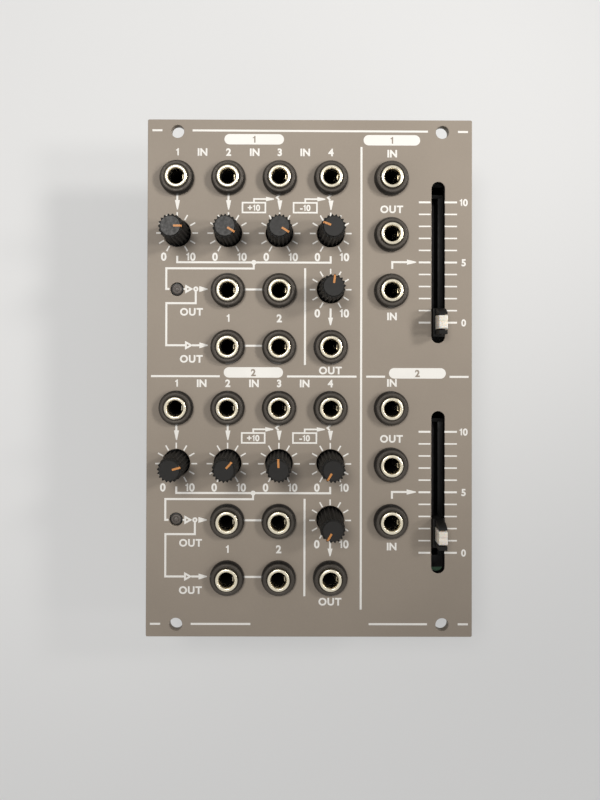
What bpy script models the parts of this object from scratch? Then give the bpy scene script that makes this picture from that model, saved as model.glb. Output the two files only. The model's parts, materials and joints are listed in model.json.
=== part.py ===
"""Eurorack module with two four-channel mixers and two glide (portamento) sections behind one front panel.

Metres. +X runs right and +Y up across the panel, and +Z points out of its front. The module lies on its back:
z = 0 is the mouth of the power header, and the origin is under the middle of the panel.
"""

import math

import bmesh
import bpy

# Front panel
PANEL_WIDTH = 0.0809
PANEL_HEIGHT = 0.1285
PANEL_THICKNESS = 0.0020
PANEL_EDGE_BREAK = 0.0002
RAIL_STRIP_HEIGHT = 0.0085
MOUNT_HOLE_RADIUS = 0.0016
MOUNT_HOLE_TO_SIDE = 0.00743
MOUNT_HOLE_TO_END = 0.0030

# Places of the columns of controls, as shares of the panel's width from its middle
FIRST_COLUMN_SHARE = -0.40853
COLUMN_PITCH_SHARE = 0.15760
GLIDE_COLUMN_SHARE = 0.24970
FADER_COLUMN_SHARE = 0.39555

# Places of the rows of controls, from the panel's edges
TOP_TO_INPUT_ROW = 0.01438
BOTTOM_TO_OUTPUT_ROW = 0.01497
SECTION_GAP = 0.00115
JACK_DROP = 0.00027
FADER_DROP = 0.00014

# Clearances
SEAT_GAP = 0.0003
RUNNING_GAP = 0.0003
CUT_OVERRUN = 0.0010

# Patch jack: moulded body, threaded bushing and round nut
JACK_BODY_WIDTH = 0.0090
JACK_BODY_LENGTH = 0.0105
JACK_BODY_HEIGHT = 0.0092
JACK_BODY_CORNER = 0.0006
JACK_BUSHING_RADIUS = 0.0028
JACK_BUSHING_OVER_NUT = 0.0004
JACK_BORE_RADIUS = 0.0018
JACK_BORE_FLOOR = 0.0011
NUT_RADIUS = 0.0043
NUT_TOP_RADIUS = 0.0037
NUT_HEIGHT = 0.0017
NUT_SHOULDER_HEIGHT = 0.0009

# Knob with its own shaft
KNOB_RIB_COUNT = 18
KNOB_RIB_DEPTH = 0.00045
KNOB_BASE_RADIUS = 0.00312
KNOB_TOP_RADIUS = 0.00295
KNOB_HEIGHT = 0.0097
KNOB_SINK = 0.0012
KNOB_EDGE_BREAK = 0.0002
KNOB_SHAFT_RADIUS = 0.0021
POINTER_WIDTH = 0.00065
POINTER_DEPTH = 0.00025
POINTER_START = 0.00067

# Rotary potentiometer
POT_WIDTH = 0.0096
POT_LENGTH = 0.0106
POT_HEIGHT = 0.0062
POT_COLLAR_RADIUS = 0.0031
POT_COLLAR_HEIGHT = 0.0024
POT_BORE_DEPTH = 0.0050

# Slide potentiometer, its lever and the saddle on the lever
FADER_TRAVEL = 0.0300
FADER_BODY_WIDTH = 0.0070
FADER_BODY_HEIGHT = 0.0072
FADER_END_WALL = 0.0033
FADER_TRACK_DEPTH = 0.0040
FADER_STEM_WIDTH = 0.0012
FADER_STEM_LENGTH = 0.0030
FADER_BLOCK_WIDTH = 0.0021
FADER_BLOCK_LENGTH = 0.0033
FADER_BLOCK_RISE = 0.0054
SADDLE_WIDTH = 0.00286
SADDLE_BASE_RISE = 0.0012
SADDLE_SINK = 0.0026
SADDLE_SHOULDER_WIDTH = 0.0020
SADDLE_ROUND_LENGTH = 0.00155
SADDLE_SQUARE_LENGTH = 0.00105
SADDLE_TOP_DROP = 0.0002
SLOT_SIDE_CLEARANCE = 0.00022
SLOT_END_CLEARANCE = 0.00165

# Light-emitting diode
LED_RADIUS = 0.0015
LED_FLANGE_RADIUS = 0.0019
LED_FLANGE_HEIGHT = 0.0010
LED_LENGTH = 0.0054
LED_RISE = 0.0002
LED_LEG_WIDTH = 0.0005
LED_LEG_PITCH = 0.00254
LED_HOLE_CLEARANCE = 0.0002

# Circuit boards
BOARD_THICKNESS = 0.0016
BOARD_CORNER = 0.0010
BOARD_SIDE_INSET = 0.00195
CONTROL_BOARD_END_INSET = 0.0090
MAIN_BOARD_END_INSET = 0.0115

# Connector between the boards, and hexagonal spacers beside it
LINK_HEIGHT = 0.0055
LINK_LENGTH = 0.0254
LINK_WIDTH = 0.0050
LINK_SOCKET_HEIGHT = 0.0034
LINK_STRIP_HEIGHT = 0.0016
LINK_NECK_INSET = 0.0008
LINK_TO_EDGE = 0.0085
SPACER_RADIUS = 0.0029
SPACER_TO_SIDE = 0.0050
SPACER_TO_END = 0.0055

# Shrouded power header
HEADER_LENGTH = 0.0279
HEADER_WIDTH = 0.0089
HEADER_HEIGHT = 0.0088
HEADER_WALL = 0.0012
HEADER_FLOOR = 0.0025
HEADER_KEY_WIDTH = 0.0045
HEADER_KEY_DEPTH = 0.0050
HEADER_PIN_COLUMNS = 8
HEADER_PIN_PITCH = 0.00254
HEADER_PIN_WIDTH = 0.00064
HEADER_PIN_LENGTH = 0.0058
HEADER_SIDE_SHIFT = 0.0015

# Soldered parts on the back of the main board
CHIP_LENGTH = 0.0087
CHIP_WIDTH = 0.0039
CHIP_HEIGHT = 0.0016
CHIP_TO_MIDDLE = 0.0170
CHIP_FIRST_ROW = 0.0200
CHIP_ROW_PITCH = 0.0140
CHIP_ROWS = 2
CAN_RADIUS = 0.00315
CAN_HEIGHT = 0.0054
CAN_SPACING = 0.0025
CAN_TO_MIDDLE = 0.0045
SOLDER_OVERLAP = 0.0002

# Facets of the round shapes
BUSHING_SIDES = 16
BORE_SIDES = 12
HOLE_SIDES = 12
KNOB_HOLE_SIDES = 16
COLLAR_SIDES = 12
SLOT_END_STEPS = 6
SHOULDER_STEPS = 5
CAN_SIDES = 10
LED_DOME_STEPS = 3

# Where the controls stand in the photograph: degrees clockwise from straight up, and shares of the travel
LEVEL_TURNS = ((90.0, 121.6, 121.6, -67.0), (75.0, 43.0, -2.0, -150.0))
OFFSET_TURNS = (7.0, -150.0)
FADER_SHARES = (0.0, 0.17)

# Places worked out from the sizes above
GLIDE_COLUMN = PANEL_WIDTH * GLIDE_COLUMN_SHARE
FADER_COLUMN = PANEL_WIDTH * FADER_COLUMN_SHARE
ROW_PITCH = (PANEL_HEIGHT - TOP_TO_INPUT_ROW - BOTTOM_TO_OUTPUT_ROW - SECTION_GAP) / 7
SECTION_PITCH = 4 * ROW_PITCH + SECTION_GAP
COLUMNS = [PANEL_WIDTH * (FIRST_COLUMN_SHARE + COLUMN_PITCH_SHARE * step) for step in range(4)]
ROWS = [PANEL_HEIGHT / 2 - TOP_TO_INPUT_ROW - ROW_PITCH * step for step in range(4)]
JACK_ROWS = [row - JACK_DROP for row in ROWS]
FADER_MIDDLE = (ROWS[1] + ROWS[2]) / 2 - FADER_DROP

# Levels of the boards and the panel, from the mouth of the power header upwards
MAIN_BOARD_BACK = HEADER_HEIGHT + SEAT_GAP
MAIN_BOARD_FRONT = MAIN_BOARD_BACK + BOARD_THICKNESS
CONTROL_BOARD_BACK = MAIN_BOARD_FRONT + LINK_HEIGHT + 2 * SEAT_GAP
CONTROL_BOARD_FRONT = CONTROL_BOARD_BACK + BOARD_THICKNESS
PART_SEAT = CONTROL_BOARD_FRONT + SEAT_GAP
PANEL_BACK = PART_SEAT + JACK_BODY_HEIGHT + SEAT_GAP
PANEL_FRONT = PANEL_BACK + PANEL_THICKNESS

# Places of the parts in one mixer section and in one glide section
MIXER_JACKS = {
    "in_jack_1": (COLUMNS[0], JACK_ROWS[0]),
    "in_jack_2": (COLUMNS[1], JACK_ROWS[0]),
    "in_jack_3": (COLUMNS[2], JACK_ROWS[0]),
    "in_jack_4": (COLUMNS[3], JACK_ROWS[0]),
    "inverted_out_jack_1": (COLUMNS[1], JACK_ROWS[2]),
    "inverted_out_jack_2": (COLUMNS[2], JACK_ROWS[2]),
    "out_jack_1": (COLUMNS[1], JACK_ROWS[3]),
    "out_jack_2": (COLUMNS[2], JACK_ROWS[3]),
    "voltage_out_jack": (COLUMNS[3], JACK_ROWS[3]),
}
MIXER_KNOBS = {
    "level_1": (COLUMNS[0], ROWS[1]),
    "level_2": (COLUMNS[1], ROWS[1]),
    "level_3": (COLUMNS[2], ROWS[1]),
    "level_4": (COLUMNS[3], ROWS[1]),
    "offset": (COLUMNS[3], ROWS[2]),
}
MIXER_LED = (COLUMNS[0], ROWS[2])
GLIDE_JACKS = {
    "in_jack": (GLIDE_COLUMN, JACK_ROWS[0]),
    "out_jack": (GLIDE_COLUMN, JACK_ROWS[1]),
    "control_jack": (GLIDE_COLUMN, JACK_ROWS[2]),
}
SECTION_SHIFTS = (0.0, -SECTION_PITCH)


def remove_all_objects():
    for old in list(bpy.data.objects):
        bpy.data.objects.remove(old)


def make_material(name, colour, roughness, metallic=0.0):
    """A Principled material of one colour."""
    made = bpy.data.materials.new(name)
    made.use_nodes = True
    shader = made.node_tree.nodes["Principled BSDF"]
    shader.inputs["Base Color"].default_value = (*colour, 1.0)
    shader.inputs["Roughness"].default_value = roughness
    shader.inputs["Metallic"].default_value = metallic
    made.diffuse_color = (*colour, 1.0)
    return made


def make_mesh(bm, name):
    """Turns a bmesh into a mesh with smooth round faces and sharp edges."""
    bmesh.ops.recalc_face_normals(bm, faces=bm.faces)
    mesh = bpy.data.meshes.new(name)
    bm.to_mesh(mesh)
    bm.free()
    mesh.shade_smooth()
    mesh.set_sharp_from_angle(angle=math.radians(35))
    return mesh


def add_object(name, mesh, material, place, parent=None, turn=0.0):
    """Puts a mesh in the scene under a parent, turned clockwise by so many degrees as seen from the front."""
    made = bpy.data.objects.new(name, mesh)
    bpy.context.scene.collection.objects.link(made)
    if material is not None and not mesh.materials:
        mesh.materials.append(material)
    made.location = place
    made.rotation_euler = (0.0, 0.0, -math.radians(turn))
    made.parent = parent
    return made


def add_empty(name, place, parent=None):
    made = bpy.data.objects.new(name, None)
    bpy.context.scene.collection.objects.link(made)
    made.location = place
    made.parent = parent
    return made


def add_prism(bm, outline, low, high):
    """Adds a closed prism of an outline, given anticlockwise as (x, y) points, between two heights."""
    bottom = [bm.verts.new((x, y, low)) for x, y in outline]
    top = [bm.verts.new((x, y, high)) for x, y in outline]
    bm.faces.new(list(reversed(bottom)))
    bm.faces.new(top)
    for step, corner in enumerate(bottom):
        after = (step + 1) % len(bottom)
        bm.faces.new((corner, bottom[after], top[after], top[step]))
    return bottom + top


def rectangle(width, length, x=0.0, y=0.0):
    half_width, half_length = width / 2, length / 2
    return [
        (x - half_width, y - half_length),
        (x + half_width, y - half_length),
        (x + half_width, y + half_length),
        (x - half_width, y + half_length),
    ]


def cut_corners(width, length, corner):
    """A rectangle whose corners are cut off at 45 degrees."""
    half_width, half_length = width / 2, length / 2
    return [
        (half_width - corner, -half_length),
        (half_width, corner - half_length),
        (half_width, half_length - corner),
        (half_width - corner, half_length),
        (corner - half_width, half_length),
        (-half_width, half_length - corner),
        (-half_width, corner - half_length),
        (corner - half_width, -half_length),
    ]


def circle(radius, sides, x=0.0, y=0.0):
    turns = [math.tau * (step + 0.5) / sides for step in range(sides)]
    return [(x + radius * math.cos(turn), y + radius * math.sin(turn)) for turn in turns]


def slot_outline(radius, half_length, x, y):
    """A slot along Y with round ends."""
    outline = []
    for end, start in ((half_length - radius, 0.0), (radius - half_length, math.pi)):
        for step in range(SLOT_END_STEPS + 1):
            turn = start + math.pi * step / SLOT_END_STEPS
            outline.append((x + radius * math.cos(turn), y + end + radius * math.sin(turn)))
    return outline


def add_lathe(bm, profile, sides):
    """Adds a closed turned solid. The profile runs up its outside as (radius, height) points."""
    rings = [[bm.verts.new((x, y, height)) for x, y in circle(radius, sides)] for radius, height in profile]
    for low, high in zip(rings, rings[1:]):
        for step in range(sides):
            after = (step + 1) % sides
            bm.faces.new((low[step], low[after], high[after], high[step]))
    bm.faces.new(list(reversed(rings[0])))
    bm.faces.new(rings[-1])


def combine(name, base, operation, tool):
    """Returns the mesh of an exact Boolean of two bmeshes."""
    target = add_object(name, make_mesh(base, name), None, (0.0, 0.0, 0.0))
    cutter = add_object(name + "_tool", make_mesh(tool, name + "_tool"), None, (0.0, 0.0, 0.0))
    boolean = target.modifiers.new("boolean", "BOOLEAN")
    boolean.operation = operation
    boolean.solver = "EXACT"
    boolean.object = cutter
    evaluated = target.evaluated_get(bpy.context.evaluated_depsgraph_get())
    result = bmesh.new()
    result.from_mesh(evaluated.to_mesh())
    bpy.data.objects.remove(target)
    bpy.data.objects.remove(cutter)
    return result


def panel_cutter_mesh():
    """Every hole of the front panel, as closed prisms that run past both of its faces."""
    bm = bmesh.new()
    low, high = -CUT_OVERRUN, PANEL_THICKNESS + CUT_OVERRUN
    for side in (-1, 1):
        for end in (-1, 1):
            x = side * (PANEL_WIDTH / 2 - MOUNT_HOLE_TO_SIDE)
            y = end * (PANEL_HEIGHT / 2 - MOUNT_HOLE_TO_END)
            add_prism(bm, circle(MOUNT_HOLE_RADIUS, HOLE_SIDES, x, y), low, high)
    for shift in SECTION_SHIFTS:
        for x, y in [*MIXER_JACKS.values(), *GLIDE_JACKS.values()]:
            add_prism(bm, circle(JACK_BUSHING_RADIUS + SEAT_GAP, HOLE_SIDES, x, y + shift), low, high)
        for x, y in MIXER_KNOBS.values():
            add_prism(bm, circle(KNOB_BASE_RADIUS + RUNNING_GAP, KNOB_HOLE_SIDES, x, y + shift), low, high)
        x, y = MIXER_LED
        add_prism(bm, circle(LED_RADIUS + LED_HOLE_CLEARANCE, HOLE_SIDES, x, y + shift), low, high)
        slot_radius = SADDLE_WIDTH / 2 + SLOT_SIDE_CLEARANCE
        slot_half_length = FADER_TRAVEL / 2 + saddle_half_length() + SLOT_END_CLEARANCE
        add_prism(bm, slot_outline(slot_radius, slot_half_length, FADER_COLUMN, FADER_MIDDLE + shift), low, high)
    return make_mesh(bm, "panel_cutter")


def build_front_panel(module, material):
    """Flat plate. Its back is divided into a strip for each rail and the field between them."""
    bm = bmesh.new()
    add_prism(bm, cut_corners(PANEL_WIDTH, PANEL_HEIGHT, PANEL_EDGE_BREAK), 0.0, PANEL_THICKNESS)
    for end in (-1, 1):
        height = end * (PANEL_HEIGHT / 2 - RAIL_STRIP_HEIGHT)
        geometry = bm.verts[:] + bm.edges[:] + bm.faces[:]
        bmesh.ops.bisect_plane(bm, geom=geometry, plane_co=(0.0, height, 0.0), plane_no=(0.0, 1.0, 0.0))
    panel = add_object("front_panel", make_mesh(bm, "front_panel"), material, (0.0, 0.0, PANEL_BACK), module)
    cutter = add_object("panel_cutter", panel_cutter_mesh(), None, (0.0, 0.0, PANEL_BACK), module)
    cutter.hide_render = True
    cutter.display_type = "WIRE"
    holes = panel.modifiers.new("holes", "BOOLEAN")
    holes.operation = "DIFFERENCE"
    holes.solver = "EXACT"
    holes.object = cutter


def jack_mesh():
    """Body under the panel, bushing through it and nut on it, with the plug's bore. Its origin is on the board."""
    nut_seat = PANEL_FRONT + SEAT_GAP - PART_SEAT
    rim = nut_seat + NUT_HEIGHT + JACK_BUSHING_OVER_NUT
    barrel = bmesh.new()
    add_lathe(
        barrel,
        [
            (JACK_BUSHING_RADIUS, JACK_BODY_HEIGHT - SOLDER_OVERLAP),
            (JACK_BUSHING_RADIUS, nut_seat),
            (NUT_RADIUS, nut_seat),
            (NUT_RADIUS, nut_seat + NUT_SHOULDER_HEIGHT),
            (NUT_TOP_RADIUS, nut_seat + NUT_HEIGHT),
            (JACK_BUSHING_RADIUS, nut_seat + NUT_HEIGHT),
            (JACK_BUSHING_RADIUS, rim),
        ],
        BUSHING_SIDES,
    )
    body = bmesh.new()
    add_prism(body, cut_corners(JACK_BODY_WIDTH, JACK_BODY_LENGTH, JACK_BODY_CORNER), 0.0, JACK_BODY_HEIGHT)
    whole = combine("jack", body, "UNION", barrel)
    bore = bmesh.new()
    add_prism(bore, circle(JACK_BORE_RADIUS, BORE_SIDES), JACK_BORE_FLOOR, rim + CUT_OVERRUN)
    return make_mesh(combine("jack", whole, "DIFFERENCE", bore), "jack")


def knob_mesh():
    """Tapered knob with ribs, on a plain shaft. Its origin is on its axis, level with the panel's front."""
    bm = bmesh.new()
    steps = range(KNOB_RIB_COUNT)
    rib_turn = math.tau / KNOB_RIB_COUNT
    start = math.pi / 2

    def ring(radius, height, share=0.0):
        turns = [start + rib_turn * (step + share) for step in steps]
        return [bm.verts.new((radius * math.cos(turn), radius * math.sin(turn), height)) for turn in turns]

    base, edge = -KNOB_SINK, KNOB_HEIGHT - KNOB_EDGE_BREAK
    middle_share = 0.5
    shaft_end = PART_SEAT + POT_HEIGHT + POT_COLLAR_HEIGHT - POT_BORE_DEPTH + SEAT_GAP - PANEL_FRONT
    low_tips = ring(KNOB_BASE_RADIUS, base)
    low_roots = ring(KNOB_BASE_RADIUS - KNOB_RIB_DEPTH, base, middle_share)
    high_tips = ring(KNOB_TOP_RADIUS, edge)
    high_roots = ring(KNOB_TOP_RADIUS - KNOB_RIB_DEPTH, edge, middle_share)
    disc = ring(KNOB_TOP_RADIUS - KNOB_RIB_DEPTH - KNOB_EDGE_BREAK, KNOB_HEIGHT, middle_share)
    collar = ring(KNOB_SHAFT_RADIUS, base, middle_share)
    foot = ring(KNOB_SHAFT_RADIUS, shaft_end, middle_share)
    for step in steps:
        before = step - 1
        bm.faces.new((low_roots[before], low_tips[step], high_tips[step], high_roots[before]))
        bm.faces.new((low_tips[step], low_roots[step], high_roots[step], high_tips[step]))
        bm.faces.new((high_roots[before], high_tips[step], high_roots[step]))
        bm.faces.new((high_roots[before], high_roots[step], disc[step], disc[before]))
        bm.faces.new((low_roots[step], low_tips[step], low_roots[before]))
        bm.faces.new((low_roots[before], collar[before], collar[step], low_roots[step]))
        bm.faces.new((collar[before], foot[before], foot[step], collar[step]))
    bm.faces.new(disc)
    bm.faces.new(list(reversed(foot)))

    groove = bmesh.new()
    groove_end = KNOB_TOP_RADIUS + CUT_OVERRUN
    outline = rectangle(POINTER_WIDTH, groove_end - POINTER_START, 0.0, (groove_end + POINTER_START) / 2)
    add_prism(groove, outline, KNOB_HEIGHT - POINTER_DEPTH, KNOB_HEIGHT + CUT_OVERRUN)
    return make_mesh(combine("knob", bm, "DIFFERENCE", groove), "knob")


def pot_mesh():
    """Box with a collar round the bore that carries the knob's shaft. Its origin is on the board."""
    box = bmesh.new()
    add_prism(box, rectangle(POT_WIDTH, POT_LENGTH), 0.0, POT_HEIGHT)
    collar = bmesh.new()
    top = POT_HEIGHT + POT_COLLAR_HEIGHT
    add_prism(collar, circle(POT_COLLAR_RADIUS, COLLAR_SIDES), POT_HEIGHT - SOLDER_OVERLAP, top)
    whole = combine("pot", box, "UNION", collar)
    bore = bmesh.new()
    bore_radius = KNOB_SHAFT_RADIUS + RUNNING_GAP
    add_prism(bore, circle(bore_radius, COLLAR_SIDES), top - POT_BORE_DEPTH, top + CUT_OVERRUN)
    return make_mesh(combine("pot", whole, "DIFFERENCE", bore), "pot")


def led_mesh():
    """Domed lens with a flange, on two legs. Its origin is on the board."""
    top = PANEL_FRONT + LED_RISE - PART_SEAT
    flange = top - LED_LENGTH
    dome_base = top - LED_RADIUS
    profile = [
        (LED_FLANGE_RADIUS, flange),
        (LED_FLANGE_RADIUS, flange + LED_FLANGE_HEIGHT),
        (LED_RADIUS, flange + LED_FLANGE_HEIGHT),
    ]
    for step in range(LED_DOME_STEPS):
        turn = math.pi / 2 * step / LED_DOME_STEPS
        profile.append((LED_RADIUS * math.cos(turn), dome_base + LED_RADIUS * math.sin(turn)))
    lens = bmesh.new()
    add_lathe(lens, profile, COLLAR_SIDES)
    legs = bmesh.new()
    for side in (-1, 1):
        outline = rectangle(LED_LEG_WIDTH, LED_LEG_WIDTH, side * LED_LEG_PITCH / 2)
        add_prism(legs, outline, 0.0, flange + SOLDER_OVERLAP)
    return make_mesh(combine("led", lens, "UNION", legs), "led")


def fader_body_mesh():
    """Long box with the track that the stem runs in. Its origin is on the board, at the middle of the travel."""
    track_length = FADER_TRAVEL + FADER_STEM_LENGTH + 2 * RUNNING_GAP
    box = bmesh.new()
    add_prism(box, rectangle(FADER_BODY_WIDTH, track_length + 2 * FADER_END_WALL), 0.0, FADER_BODY_HEIGHT)
    track = bmesh.new()
    outline = rectangle(FADER_STEM_WIDTH + 2 * RUNNING_GAP, track_length)
    add_prism(track, outline, FADER_BODY_HEIGHT - FADER_TRACK_DEPTH, FADER_BODY_HEIGHT + CUT_OVERRUN)
    return make_mesh(combine("fader_body", box, "DIFFERENCE", track), "fader_body")


def fader_lever_mesh():
    """Stem in the track, with the block that the finger moves. Its origin is level with the panel's front."""
    stem_foot = PART_SEAT + FADER_BODY_HEIGHT - FADER_TRACK_DEPTH + RUNNING_GAP - PANEL_FRONT
    block_foot = SADDLE_BASE_RISE + SEAT_GAP
    block = bmesh.new()
    add_prism(block, rectangle(FADER_BLOCK_WIDTH, FADER_BLOCK_LENGTH), block_foot, FADER_BLOCK_RISE)
    stem = bmesh.new()
    add_prism(stem, rectangle(FADER_STEM_WIDTH, FADER_STEM_LENGTH), stem_foot, block_foot + SOLDER_OVERLAP)
    return make_mesh(combine("fader_lever", block, "UNION", stem), "fader_lever")


def saddle_half_length():
    return FADER_BLOCK_LENGTH / 2 + SEAT_GAP + SADDLE_ROUND_LENGTH


def fader_saddle_mesh():
    """Base in the panel's slot, with a rounded shoulder above the block and a square one below it."""
    base = bmesh.new()
    add_prism(base, rectangle(SADDLE_WIDTH, 2 * saddle_half_length()), -SADDLE_SINK, SADDLE_BASE_RISE)

    inner = FADER_BLOCK_LENGTH / 2 + SEAT_GAP
    outer = -inner - SADDLE_SQUARE_LENGTH
    foot = SADDLE_BASE_RISE - SOLDER_OVERLAP
    top = FADER_BLOCK_RISE - SADDLE_TOP_DROP
    rise = top - SADDLE_BASE_RISE
    rounded = [(inner, foot), (saddle_half_length(), foot)]
    for step in range(SHOULDER_STEPS + 1):
        turn = math.pi / 2 * step / SHOULDER_STEPS
        along = inner + SADDLE_ROUND_LENGTH * math.cos(turn)
        rounded.append((along, SADDLE_BASE_RISE + rise * math.sin(turn)))
    square = [(-inner, foot), (-inner, top), (outer, top), (outer, foot)]
    shoulders = bmesh.new()
    half_width = SADDLE_SHOULDER_WIDTH / 2
    for profile in (rounded, square):
        left = [shoulders.verts.new((-half_width, along, height)) for along, height in profile]
        right = [shoulders.verts.new((half_width, along, height)) for along, height in profile]
        shoulders.faces.new(left)
        shoulders.faces.new(list(reversed(right)))
        for step, corner in enumerate(left):
            after = (step + 1) % len(left)
            shoulders.faces.new((corner, right[step], right[after], left[after]))
    whole = combine("fader_saddle", base, "UNION", shoulders)
    hole = bmesh.new()
    outline = rectangle(FADER_STEM_WIDTH + 2 * SEAT_GAP, FADER_STEM_LENGTH + 2 * SEAT_GAP)
    add_prism(hole, outline, -SADDLE_SINK - CUT_OVERRUN, SADDLE_BASE_RISE + CUT_OVERRUN)
    return make_mesh(combine("fader_saddle", whole, "DIFFERENCE", hole), "fader_saddle")


def board_prism(end_inset):
    bm = bmesh.new()
    width = PANEL_WIDTH - 2 * BOARD_SIDE_INSET
    add_prism(bm, cut_corners(width, PANEL_HEIGHT - 2 * end_inset, BOARD_CORNER), 0.0, BOARD_THICKNESS)
    return bm


def main_board_mesh():
    """Board with the chips and the filter capacitors that are soldered to its back."""
    parts = bmesh.new()
    for side in (-1, 1):
        for end in (-1, 1):
            for row in range(CHIP_ROWS):
                x = side * CHIP_TO_MIDDLE
                y = end * (CHIP_FIRST_ROW + CHIP_ROW_PITCH * row)
                add_prism(parts, rectangle(CHIP_LENGTH, CHIP_WIDTH, x, y), -CHIP_HEIGHT, SOLDER_OVERLAP)
            x = side * (HEADER_LENGTH / 2 + CAN_SPACING + CAN_RADIUS) - HEADER_SIDE_SHIFT
            add_prism(parts, circle(CAN_RADIUS, CAN_SIDES, x, end * CAN_TO_MIDDLE), -CAN_HEIGHT, SOLDER_OVERLAP)
    return make_mesh(combine("main_board", board_prism(MAIN_BOARD_END_INSET), "UNION", parts), "main_board")


def board_link_mesh():
    """Pin strip and socket, with the pins' waist between them."""
    bm = bmesh.new()
    add_prism(bm, rectangle(LINK_WIDTH, LINK_LENGTH), 0.0, LINK_SOCKET_HEIGHT)
    strip = bmesh.new()
    add_prism(strip, rectangle(LINK_WIDTH, LINK_LENGTH), LINK_HEIGHT - LINK_STRIP_HEIGHT, LINK_HEIGHT)
    neck = bmesh.new()
    outline = rectangle(LINK_WIDTH - 2 * LINK_NECK_INSET, LINK_LENGTH - 2 * LINK_NECK_INSET)
    neck_top = LINK_HEIGHT - LINK_STRIP_HEIGHT + SOLDER_OVERLAP
    add_prism(neck, outline, LINK_SOCKET_HEIGHT - SOLDER_OVERLAP, neck_top)
    lower = combine("board_link", bm, "UNION", neck)
    return make_mesh(combine("board_link", lower, "UNION", strip), "board_link")


def spacer_mesh():
    bm = bmesh.new()
    add_prism(bm, circle(SPACER_RADIUS, 6), 0.0, LINK_HEIGHT)
    return make_mesh(bm, "board_spacer")


def power_header_mesh():
    """Shroud open at the back, with two rows of pins and a key notch. Its origin is at its mouth."""
    shroud = bmesh.new()
    add_prism(shroud, rectangle(HEADER_LENGTH, HEADER_WIDTH), 0.0, HEADER_HEIGHT)
    hollow = bmesh.new()
    cavity = rectangle(HEADER_LENGTH - 2 * HEADER_WALL, HEADER_WIDTH - 2 * HEADER_WALL)
    add_prism(hollow, cavity, -CUT_OVERRUN, HEADER_HEIGHT - HEADER_FLOOR)
    shell = combine("power_header", shroud, "DIFFERENCE", hollow)
    notch = bmesh.new()
    outline = rectangle(HEADER_KEY_WIDTH, 2 * HEADER_WALL, 0.0, -HEADER_WIDTH / 2)
    add_prism(notch, outline, -CUT_OVERRUN, HEADER_KEY_DEPTH)
    keyed = combine("power_header", shell, "DIFFERENCE", notch)
    pins = bmesh.new()
    pin_top = HEADER_HEIGHT - HEADER_FLOOR
    for column in range(HEADER_PIN_COLUMNS):
        x = (column - (HEADER_PIN_COLUMNS - 1) / 2) * HEADER_PIN_PITCH
        for side in (-1, 1):
            outline = rectangle(HEADER_PIN_WIDTH, HEADER_PIN_WIDTH, x, side * HEADER_PIN_PITCH / 2)
            add_prism(pins, outline, pin_top - HEADER_PIN_LENGTH, pin_top + SOLDER_OVERLAP)
    return make_mesh(combine("power_header", keyed, "UNION", pins), "power_header")


def build_mixer(number, section, meshes, materials):
    """Nine jacks, five knobs on their potentiometers and the lamp of one mixer."""
    for name, (x, y) in MIXER_JACKS.items():
        add_object(f"mixer_{number}_{name}", meshes["jack"], materials["jack"], (x, y, PART_SEAT), section)
    turns = [*LEVEL_TURNS[number - 1], OFFSET_TURNS[number - 1]]
    for (name, (x, y)), turn in zip(MIXER_KNOBS.items(), turns):
        add_object(f"mixer_{number}_{name}_pot", meshes["pot"], materials["pot"], (x, y, PART_SEAT), section)
        knob = f"mixer_{number}_{name}_knob"
        add_object(knob, meshes["knob"], materials["knob"], (x, y, PANEL_FRONT), section, turn)
    add_object(f"mixer_{number}_led", meshes["led"], materials["led"], (*MIXER_LED, PART_SEAT), section)


def build_glide(number, section, meshes, materials):
    """Three jacks and the fader of one glide section. The slider's empty carries its lever and saddle."""
    for name, (x, y) in GLIDE_JACKS.items():
        add_object(f"glide_{number}_{name}", meshes["jack"], materials["jack"], (x, y, PART_SEAT), section)
    body = f"glide_{number}_fader_body"
    place = (FADER_COLUMN, FADER_MIDDLE, PART_SEAT)
    add_object(body, meshes["fader_body"], materials["fader_body"], place, section)
    along = FADER_MIDDLE + FADER_TRAVEL * (FADER_SHARES[number - 1] - 1 / 2)
    slider = add_empty(f"glide_{number}_slider", (FADER_COLUMN, along, PANEL_FRONT), section)
    origin = (0.0, 0.0, 0.0)
    for name in ("fader_lever", "fader_saddle"):
        add_object(f"glide_{number}_{name}", meshes[name], materials[name], origin, slider)


def build_boards(module, meshes, materials):
    """Control board, main board, what joins them and the power header."""
    control = make_mesh(board_prism(CONTROL_BOARD_END_INSET), "control_board")
    add_object("control_board", control, materials["control_board"], (0.0, 0.0, CONTROL_BOARD_BACK), module)
    board = (0.0, 0.0, MAIN_BOARD_BACK)
    add_object("main_board", main_board_mesh(), materials["main_board"], board, module)
    seat = MAIN_BOARD_FRONT + SEAT_GAP
    link_x = PANEL_WIDTH / 2 - BOARD_SIDE_INSET - LINK_TO_EDGE
    spacer_x = PANEL_WIDTH / 2 - BOARD_SIDE_INSET - SPACER_TO_SIDE
    spacer_y = PANEL_HEIGHT / 2 - MAIN_BOARD_END_INSET - SPACER_TO_END
    for number, side in ((1, -1), (2, 1)):
        link = f"board_link_{number}"
        add_object(link, meshes["board_link"], materials["board_link"], (side * link_x, 0.0, seat), module)
        spacer = f"board_spacer_{number}"
        place = (side * spacer_x, side * spacer_y, seat)
        add_object(spacer, meshes["board_spacer"], materials["board_spacer"], place, module)
    header = (-HEADER_SIDE_SHIFT, 0.0, 0.0)
    add_object("power_header", power_header_mesh(), materials["power_header"], header, module)


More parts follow.
